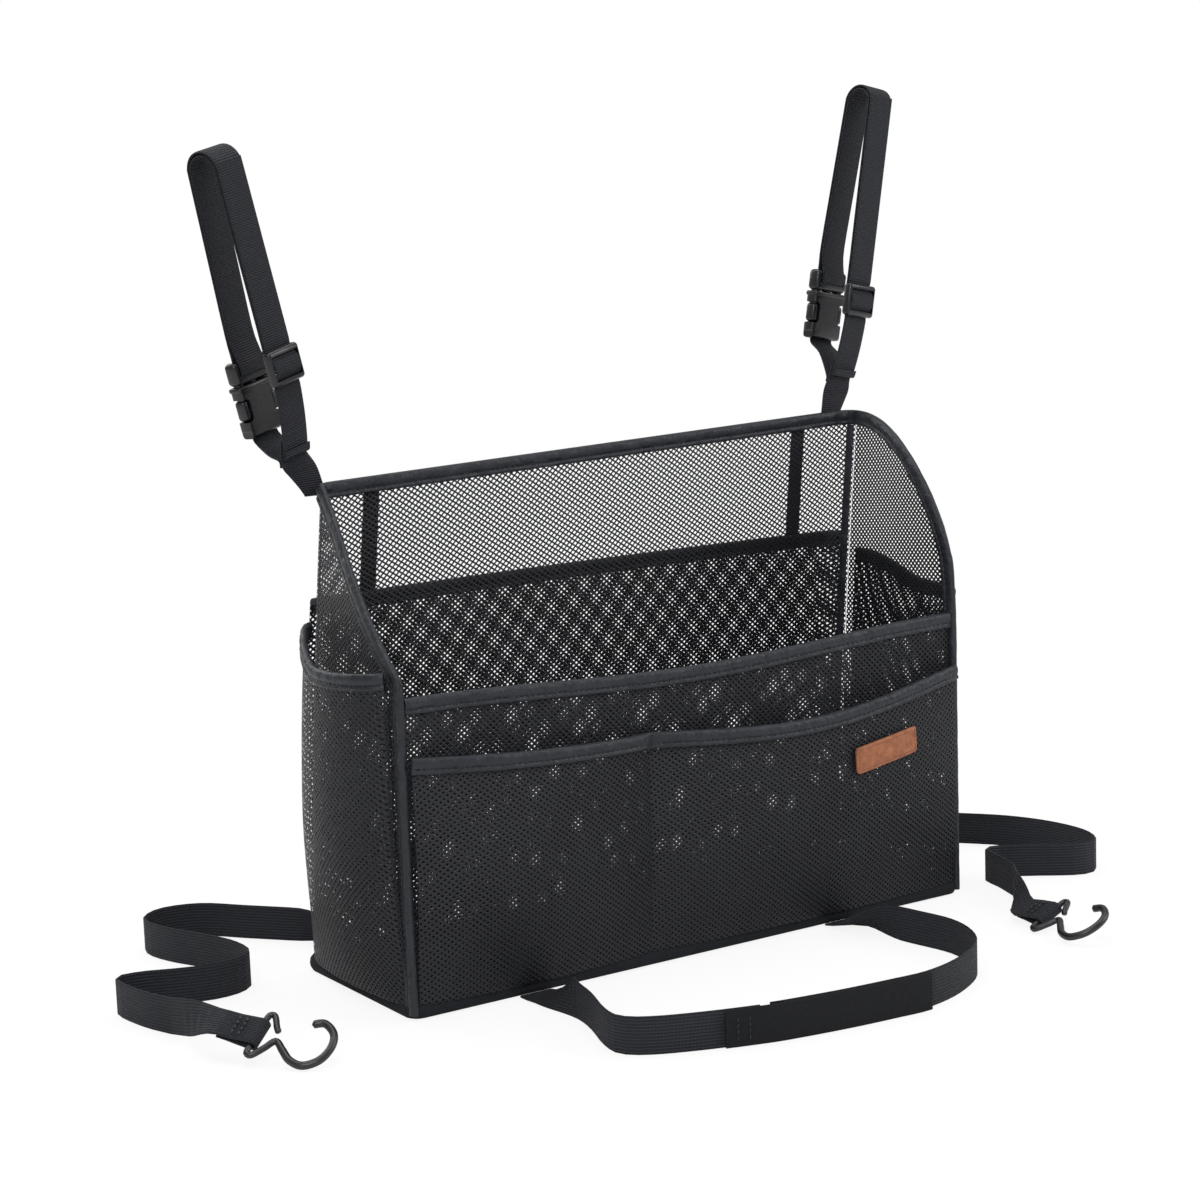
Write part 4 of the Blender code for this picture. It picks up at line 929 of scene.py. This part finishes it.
def labelPiece():
    # cut with rounded corners, crowned a little inside its line of stitches
    cornerRadius = 0.0022
    across, up = 30, 12
    shape = bmesh.new()

    def rounded(u, v):
        x = label["width"] * (u - 0.5)
        z = label["height"] * (v - 0.5)
        limitX = label["width"] / 2 - cornerRadius
        limitZ = label["height"] / 2 - cornerRadius
        overX = max(abs(x) - limitX, 0.0)
        overZ = max(abs(z) - limitZ, 0.0)
        over = math.hypot(overX, overZ)
        if over > cornerRadius and overX > 0 and overZ > 0:
            x = math.copysign(limitX + overX * cornerRadius / over, x)
            z = math.copysign(limitZ + overZ * cornerRadius / over, z)
        return x / label["width"] + 0.5, z / label["height"] + 0.5

    def cornerAt(i, j, back):
        u, v = rounded(i / across, j / up)
        edge = min(min(u, 1 - u) * label["width"], min(v, 1 - v) * label["height"])
        proud = 0.0 if back else label["thickness"] * (0.72 + 0.28 * ease(edge / 0.0014))
        return shape.verts.new(labelSpot(u, v, proud))

    layers = [[[cornerAt(i, j, back) for i in range(across + 1)] for j in range(up + 1)]
              for back in (True, False)]
    for layer in layers:
        for j in range(up):
            for i in range(across):
                shape.faces.new((layer[j][i], layer[j][i + 1], layer[j + 1][i + 1], layer[j + 1][i]))
    rim = [(0, i) for i in range(across)] + [(j, across) for j in range(up)]
    rim += [(up, i) for i in range(across, 0, -1)] + [(j, 0) for j in range(up, 0, -1)]
    near, far = layers
    for (j, i), (b, a) in zip(rim, rim[1:] + rim[:1]):
        shape.faces.new((near[j][i], near[b][a], far[b][a], far[j][i]))
    bmesh.ops.recalc_face_normals(shape, faces=shape.faces)
    piece = keepPiece("labelPatch", shape, tan, smooth=50)
    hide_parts("label_patch")
    inset = 0.0017
    line = []
    for start, end in (((0, 0), (1, 0)), ((1, 0), (1, 1)), ((1, 1), (0, 1)), ((0, 1), (0, 0))):
        for step in range(20):
            u, v = (mix(inset / size, 1 - inset / size, mix(a, b, step / 20))
                    for size, a, b in zip((label["width"], label["height"]), start, end))
            line.append((labelSpot(u, v, label["thickness"]), Vector((1, 0, 0)), Vector((0, -1, 0))))
    line.append(line[0])
    stitchRow("labelStitches", line, tanThread, "label")


labelPiece()
print("label sewn on")


def wireHook(side):
    # spring-steel wire with a dipped coating: a slimmer ring closed beside the stem, and a stouter curl
    centre, across, along = hookAxes(side)
    stem = hook["ring"][-1][0]
    upper = list(reversed(hook["ring"][1:-1]))
    lower = [(p, -q) for p, q in hook["ring"][1:-1]]
    flat = [(stem - 0.0010, 0.0040)] + upper + hook["ring"][:1] + lower + [(stem, -0.0012)] + hook["curl"]
    route = smoothRoute([centre + across * p + along * q for p, q in flat], 120)
    bpy.ops.curve.primitive_nurbs_path_add()
    wire = bpy.context.active_object
    wire.name = side + "WireHook"
    wire.data.splines.clear()
    line = wire.data.splines.new("POLY")
    line.points.add(len(route) - 1)
    total = len(route) - 1
    begins, within = hook["thickens"]
    for index, place in enumerate(route):
        share = index / total
        size = mix(hook["ringWire"], hook["curlWire"], ease((share - begins) / within)) / 2
        fromEnd = min(index, total - index) * hook["endStep"]
        if fromEnd < size:
            size *= math.sqrt(max(1 - (1 - fromEnd / size) ** 2, 0.02))
        line.points[index].co = (*place, 1)
        line.points[index].radius = size / hook["wire"] * 2
    wire.data.bevel_depth = hook["wire"] / 2
    wire.data.bevel_resolution = 5
    wire.data.use_fill_caps = True
    wire.data.twist_mode = "MINIMUM"
    bpy.ops.object.convert(target="MESH")
    bpy.ops.object.shade_smooth()
    wire.data.materials.clear()
    wire.data.materials.append(dipped)
    wire.select_set(False)
    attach(wire, side + "_hook")
    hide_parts(side + "_hook")
    return wire


def sideElastic(side):
    # knitted elastic on its edge along the floor, turned and gathered round its hook's bar
    strap = leftStrap if side == "left" else rightStrap
    points, widths = standingLine(seamLead(strap["seamX"], 1) + strap["route"], 56)
    arrive, turn, back, along = elasticEnd(side)
    if along.z < 0:
        along = -along
    bend = smoothRoute([points[-2], points[-1]] + arrive, 9)
    for index, place in enumerate(bend[3:]):
        share = ease((index + 1) / 6)
        points.append(place)
        wide = mix(elastic["width"], elastic["gathered"], share)
        widths.append(upright.lerp(along, share).normalized() * wide)
    for place in turn + back:
        points.append(place)
        widths.append(along * elastic["gathered"])
    piece = bandPiece(side + "Elastic", points, widths, elastic["thickness"], ribbed)
    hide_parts(side + "_elastic")
    wireHook(side)
    centre, across, _ = hookAxes(side)
    out = across.cross(along)
    out = out if out.z > 0 else -out
    for row, reach in enumerate(elastic["tackRows"]):
        top = centre - across * reach + out * (hook["wire"] / 2 + elastic["thickness"] + gap)
        spots = [(top + along * span, along, out) for span in (-0.0075, 0.0, 0.0075)]
        stitchRow(side + "ElasticTack" + str(row), spots, thread, "elastic")


def frontElastics():
    # two elastics from under the foot's front edge, closed on each other by hook-and-loop tapes
    layer = elastic["thickness"] + webbing["layerGap"]
    steps = frontStrap["steps"]
    leftLead = seamLead(frontStrap["seamX"][0], -1)
    rightLead = seamLead(frontStrap["seamX"][1], -1)
    route = leftLead + frontStrap["route"] + rightLead[::-1]
    made = {}
    tapeTo = frontStrap["tapeTo"]
    for name, node, first, last, offset, finish in (
            ("frontLeftElastic", "front_left_elastic", 0, frontStrap["leftTo"], 0, ribbed),
            ("frontHookTape", "front_hook_tape", frontStrap["hookFrom"], tapeTo, -layer, pile),
            ("frontLoopTape", "front_loop_tape", frontStrap["loopFrom"], tapeTo, 0, pile),
            ("frontRightElastic", "front_right_elastic", frontStrap["rightFrom"], steps, layer, ribbed)):
        points, widths = standingLine(route, steps, offset, True)
        points, widths = points[first:last + 1], widths[first:last + 1]
        piece = bandPiece(name, points, widths, elastic["thickness"], finish)
        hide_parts(node)
        made[name] = (piece, points)
    start = made["frontHookTape"][1]
    for row, index in enumerate((1, 2)):
        out = (start[index + 1] - start[index]).normalized().cross(upright).normalized()
        spot = start[index] + out * (elastic["thickness"] / 2 + gap / 2)
        spots = [(spot + Vector((0, 0, span)), upright, out) for span in (-0.0085, 0.0, 0.0085)]
        stitchRow("frontTack" + str(row), spots, thread, "front")
    for name, step, closure in (("frontLeftElastic", 1, "frontHookTape"),
                                ("frontRightElastic", -1, "frontLoopTape")):
        piece, points = made[name]


strapping = (webbing["thickness"], woven, webbing["edge"])


def hangerStrap(side):
    # doubled loop from its folded foot over the top, round the buckle's bar and back to the slider
    spec = hangers[side]
    place = hangerFrame(side)
    across = place.to_3x3() @ Vector((webbing["width"], 0, 0))
    line = curveThrough([(footOffset(spec, y, z), y, z) for y, z in hangerLine(spec)], 3)
    piece = bandPiece(side + "HangerWebbing", [place @ point for point in line], [across] * len(line),
                      *strapping)
    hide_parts(side + "_hanger_webbing")

    edge = backTop(math.copysign(wallX, spec["anchorX"]))
    layer = webbing["thickness"] + gap
    sewn = Vector((spec["anchorX"] + webbing["sewnShift"], strapY, edge - spec["anchorDrop"]))
    end = place @ Vector((footOffset(spec, 0, 0.010), layer, 0.010))
    middle = place @ Vector((spec["footShift"], layer, 0))
    route = smoothRoute([sewn, sewn.lerp(middle, 0.5), middle, end], 30)
    flat = Vector((1, 0, 0))
    lean = Matrix.Rotation(math.radians(spec["leanDeg"]), 3, "Y") @ flat
    widths = []
    for step in range(31):
        level = flat.lerp(lean, ease(step / 30))
        twisted = ease((step / 30 - webbing["twistFrom"]) / webbing["twistSpan"])
        turned = level.lerp(across.normalized(), twisted)
        share = mix(webbing["sewnShare"], 1.0, ease(step / 18))
        widths.append(turned.normalized() * webbing["width"] * share)
    piece = bandPiece(side + "AnchorWebbing", route, widths, *strapping)
    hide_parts(side + "_anchor_webbing")

    slotZ = spec["buckle"] - buckle["bodyLength"] + buckle["capSlot"]
    startY = 2 * layer + 2 * gap
    shift = spec["footShift"]
    stand = webbing["buckleStand"]
    tail = [(shift, startY, -0.004), (shift, startY, 0.000), (shift / 2, stand * 0.55, slotZ - 0.014),
            (0, stand * 0.97, slotZ - 0.0075), (0, stand, slotZ - 0.003), (0, stand, slotZ + 0.001)]
    points = smoothRoute([place @ Vector(point) for point in tail], 30)
    piece = bandPiece(side + "TailWebbing", points, [across] * 31, *strapping)
    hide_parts(side + "_tail_webbing")

    way = across.normalized()
    front = place.to_3x3() @ Vector((0, -1, 0))
    for row, height in enumerate((0.0078, 0.0130)):
        spots = []
        for reach in (-0.0085, 0.0, 0.0085):
            spot = Vector((footOffset(spec, 0, height) + reach, -webbing["thickness"] / 2, height))
            spots.append((place @ spot, way, front))
        stitchRow(side + "FootStitches" + str(row), spots, thread, "strap")


def roundedBlock(size, centre, soft, segments):
    # a cube set to its size, with every edge rounded
    bpy.ops.mesh.primitive_cube_add(size=1, location=centre, scale=size)
    bpy.ops.object.transform_apply(location=True, rotation=False, scale=True)
    bpy.ops.object.mode_set(mode="EDIT")
    bpy.ops.mesh.select_all(action="SELECT")
    bpy.ops.mesh.bevel(offset=soft, segments=segments, affect="EDGES")
    bpy.ops.object.mode_set(mode="OBJECT")
    return bpy.context.active_object


def shaped(piece, operation, tools):
    for tool in tools:
        pick(piece)
        step = piece.modifiers.new("shape", "BOOLEAN")
        step.operation = operation
        step.solver = "EXACT"
        step.object = tool
        bpy.ops.object.modifier_apply(modifier=step.name)
        bpy.data.objects.remove(tool, do_unlink=True)
    return piece


def crossBar(radius, length, y, z):
    bpy.ops.mesh.primitive_cylinder_add(vertices=20, radius=radius, depth=length, location=(0, y, z),
                                        rotation=(0, math.pi / 2, 0))
    bpy.ops.object.transform_apply(location=True, rotation=True, scale=True)
    return bpy.context.active_object


def sliderShape():
    # moulded slider: two front rails and thick rounded cheeks, with the centre bar behind the webbing
    bar = slider["bar"]
    high, wide = slider["height"], slider["width"]
    deep = slider["front"] + slider["back"]
    middle = (slider["back"] - slider["front"]) / 2
    cheek = (wide - webbing["width"]) / 2 - 2 * gap
    piece = roundedBlock((wide, deep, high), (0, middle, 0), 0.0021, 4)
    inner = (wide - 2 * cheek, 2 * deep, high - 2 * bar)
    shaped(piece, "DIFFERENCE", [roundedBlock(inner, (0, 0, 0), 0.0006, 2)])
    rearCut = (wide - 2 * cheek, deep, 2 * high)
    shaped(piece, "DIFFERENCE", [roundedBlock(rearCut, (0, deep / 2 - 0.0010, 0), 0.0005, 2)])
    return shaped(piece, "UNION", [crossBar(bar / 2, wide - cheek, 0.0002, 0)])


def buckleBodyShape():
    # receiving half: a flat shell with a waisted side, a window over each prong and a slot for the webbing
    wide, deep, long = buckle["width"], buckle["thickness"], buckle["bodyLength"]
    piece = roundedBlock((wide, deep, long), (0, 0, -long / 2 - gap), 0.0024, 4)
    innerX, innerY = wide - 2 * buckle["wall"], deep - 2 * buckle["wall"]
    tools = [roundedBlock((innerX, innerY, 2 * long - 4 * buckle["capSlot"]), (0, 0, 0), 0.0006, 2)]
    for way in (-1, 1):
        tools.append(roundedBlock((2 * buckle["prongWidth"] + 0.001, 2 * deep, buckle["window"]),
                                  (way * wide / 2, 0, -buckle["windowAt"] * long), 0.0026, 4))
        notchX = way * (wide / 2 + 0.0008)
        tools.append(roundedBlock((0.004, 2 * deep, 0.010), (notchX, 0, -long), 0.0016, 3))
    slotZ = -long + buckle["capSlot"]
    tools.append(roundedBlock((webbing["width"] + 0.002, buckle["capSlot"], 4 * buckle["capSlot"]),
                              (0, 0, slotZ - 1.2 * buckle["capSlot"]), 0.0007, 2))
    shaped(piece, "DIFFERENCE", tools)
    rimZ = -0.0022
    rim = roundedBlock((wide + 0.0006, deep + 0.0006, 0.0030), (0, 0, rimZ), 0.0012, 3)
    hollow = roundedBlock((innerX, innerY, 0.0100), (0, 0, rimZ), 0.0006, 2)
    shaped(rim, "DIFFERENCE", [hollow])
    return shaped(piece, "UNION", [rim])


def buckleLatchShape():
    # plug half: two rounded lugs that hold the webbing's bar, and sprung prongs with thumb pads
    wide, deep, long = buckle["width"], buckle["thickness"], buckle["capLength"]
    opening = webbing["width"] + 0.002
    bottom = long / 2 - buckle["capBar"] / 2 - webbing["thickness"] + 0.0002
    piece = roundedBlock((wide, deep, long), (0, 0, long / 2), 0.0026, 4)
    mouth = roundedBlock((opening, 2 * deep, long), (0, 0, bottom + long / 2), 0.0010, 3)
    shaped(piece, "DIFFERENCE", [mouth])
    barY = -(buckle["capBar"] / 2 + gap + webbing["thickness"] / 2)
    parts = [crossBar(buckle["capBar"] / 2, opening + 0.003, barY, long / 2)]
    root = bottom * 0.7
    inside = wide - 2 * buckle["wall"]
    reach = buckle["bodyLength"] * 0.63
    for way in (-1, 0, 1):
        x = way * (inside / 2 - gap - buckle["prongWidth"] / 2)
        length = reach if way else reach * 0.7
        parts.append(roundedBlock((buckle["prongWidth"], deep - 2 * buckle["wall"] - 2 * gap, length + root),
                                  (x, 0, (root - length) / 2), 0.0014, 3))
    for way in (-1, 1):
        x = way * (wide / 2 - buckle["prongWidth"] / 2 - 0.0002)
        parts.append(roundedBlock((buckle["prongWidth"], deep * 0.82, buckle["window"] - 0.0016),
                                  (x, 0, -buckle["windowAt"] * buckle["bodyLength"]), 0.0019, 4))
    return shaped(piece, "UNION", parts)


def placeCopy(shape, name, place, node):
    piece = bpy.data.objects.new(name, shape.data.copy())
    piece.data.transform(place)
    settle(piece, moulded, 38)
    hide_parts(node)


for side in ("left", "right"):
    sideElastic(side)
    hangerStrap(side)
frontElastics()
print("straps sewn")

hardware = {"slider": sliderShape(), "buckle_body": buckleBodyShape(), "buckle_latch": buckleLatchShape()}
for side in ("left", "right"):
    place = hangerFrame(side)
    atSlider = place @ Matrix.Translation((0, 0, hangers[side]["slider"]))
    atBuckle = place @ Matrix.Translation((0, webbing["buckleStand"], hangers[side]["buckle"]))
    for name, shape in hardware.items():
        spot = atSlider if name == "slider" else atBuckle
        placeCopy(shape, side + "".join(word.title() for word in name.split("_")), spot, side + "_" + name)
for shape in hardware.values():
    bpy.data.objects.remove(shape, do_unlink=True)
print("hardware moulded")


def backTape(name, side):
    # webbing that stiffens the back wall above the rear pocket
    low = rearPocket["height"] + 2 * gap
    high = backTop(side * tape["x"]) - hem["width"] + 0.001
    y = wallY + net["thickness"] / 2 + gap + tape["thickness"] / 2
    points = [leaned(side * tape["x"], y, mix(low, high, step / 12)) for step in range(13)]
    widths = [Vector((tape["width"], 0, 0))] * 13
    piece = bandPiece(name + "BackTape", points, widths, tape["thickness"], woven, webbing["edge"])
    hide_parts(name + "_back_tape")


backTape("left", -1)
backTape("right", 1)


def paleFloor():
    # matt white floor: near the bag it takes a faint shadow, further out it turns into the white background
    bpy.ops.mesh.primitive_plane_add(size=40, location=(0, 0, 0))
    floor = bpy.context.active_object
    floor.name = "studioFloor"
    finish, tree, shader = startFinish("mattWhiteFloor", Roughness=0.9)
    shader.inputs["Base Color"].default_value = linearColour("#f2f2f2")
    place = addNode(tree, "TexCoord", out="Object")
    reach = addNode(tree, "VectorMath", links={0: place}, out="Value", operation="LENGTH")
    fade = addNode(tree, "MapRange", {"From Min": 0.30, "From Max": 0.75, "To Min": 0.86},
                   {"Value": reach}, interpolation_type="SMOOTHSTEP")
    seen = addNode(tree, "LightPath", out="Is Camera Ray")
    white = addNode(tree, "Emission", {"Color": (1, 1, 1, 1), "Strength": 1.0})
    share = addNode(tree, "Math", links={0: fade, 1: seen}, operation="MULTIPLY")
    blend = addNode(tree, "MixShader", links={0: share, 1: shader.outputs[0], 2: white})
    tree.links.new(blend, tree.nodes["Material Output"].inputs["Surface"])
    floor.data.materials.append(finish)
    floor.select_set(False)


paleFloor()


def studioLight():
    # a pale room, white only to the camera, and four soft boxes aimed at the bag's middle
    world = bpy.data.worlds.new("paleRoom")
    bpy.context.scene.world = world
    world.use_nodes = True
    tree = world.node_tree
    sky = tree.nodes["Background"]
    sky.inputs["Color"].default_value = (1, 1, 1, 1)
    sky.inputs["Strength"].default_value = 0.45
    white = addNode(tree, "Background", {"Color": (1, 1, 1, 1), "Strength": 1.0})
    seen = addNode(tree, "LightPath").node.outputs
    every = addNode(tree, "Math", operation="MAXIMUM",
                    links={0: seen["Is Camera Ray"], 1: seen["Is Transmission Ray"]})
    blend = addNode(tree, "MixShader", links={0: every, 1: sky.outputs[0], 2: white})
    tree.links.new(blend, tree.nodes["World Output"].inputs["Surface"])
    for name, place, size, power in (
            ("softBoxLeft", (-1.3, -1.5, 1.6), 1.3, 26), ("softBoxRight", (1.6, -1.1, 1.3), 1.2, 18),
            ("softBoxTop", (0.1, 0.3, 2.1), 1.6, 22), ("softBoxBack", (-0.5, 1.8, 1.2), 1.2, 12)):
        bpy.ops.object.light_add(type="AREA", location=place)
        lamp = bpy.context.active_object
        lamp.name = name
        lamp.data.energy = power
        lamp.data.size = size
        lamp.rotation_euler = (Vector((0, 0, 0.2)) - Vector(place)).to_track_quat("-Z", "Y").to_euler()
        lamp.select_set(False)


studioLight()
bpy.context.scene.view_settings.view_transform = "Standard"

print("stage lit")
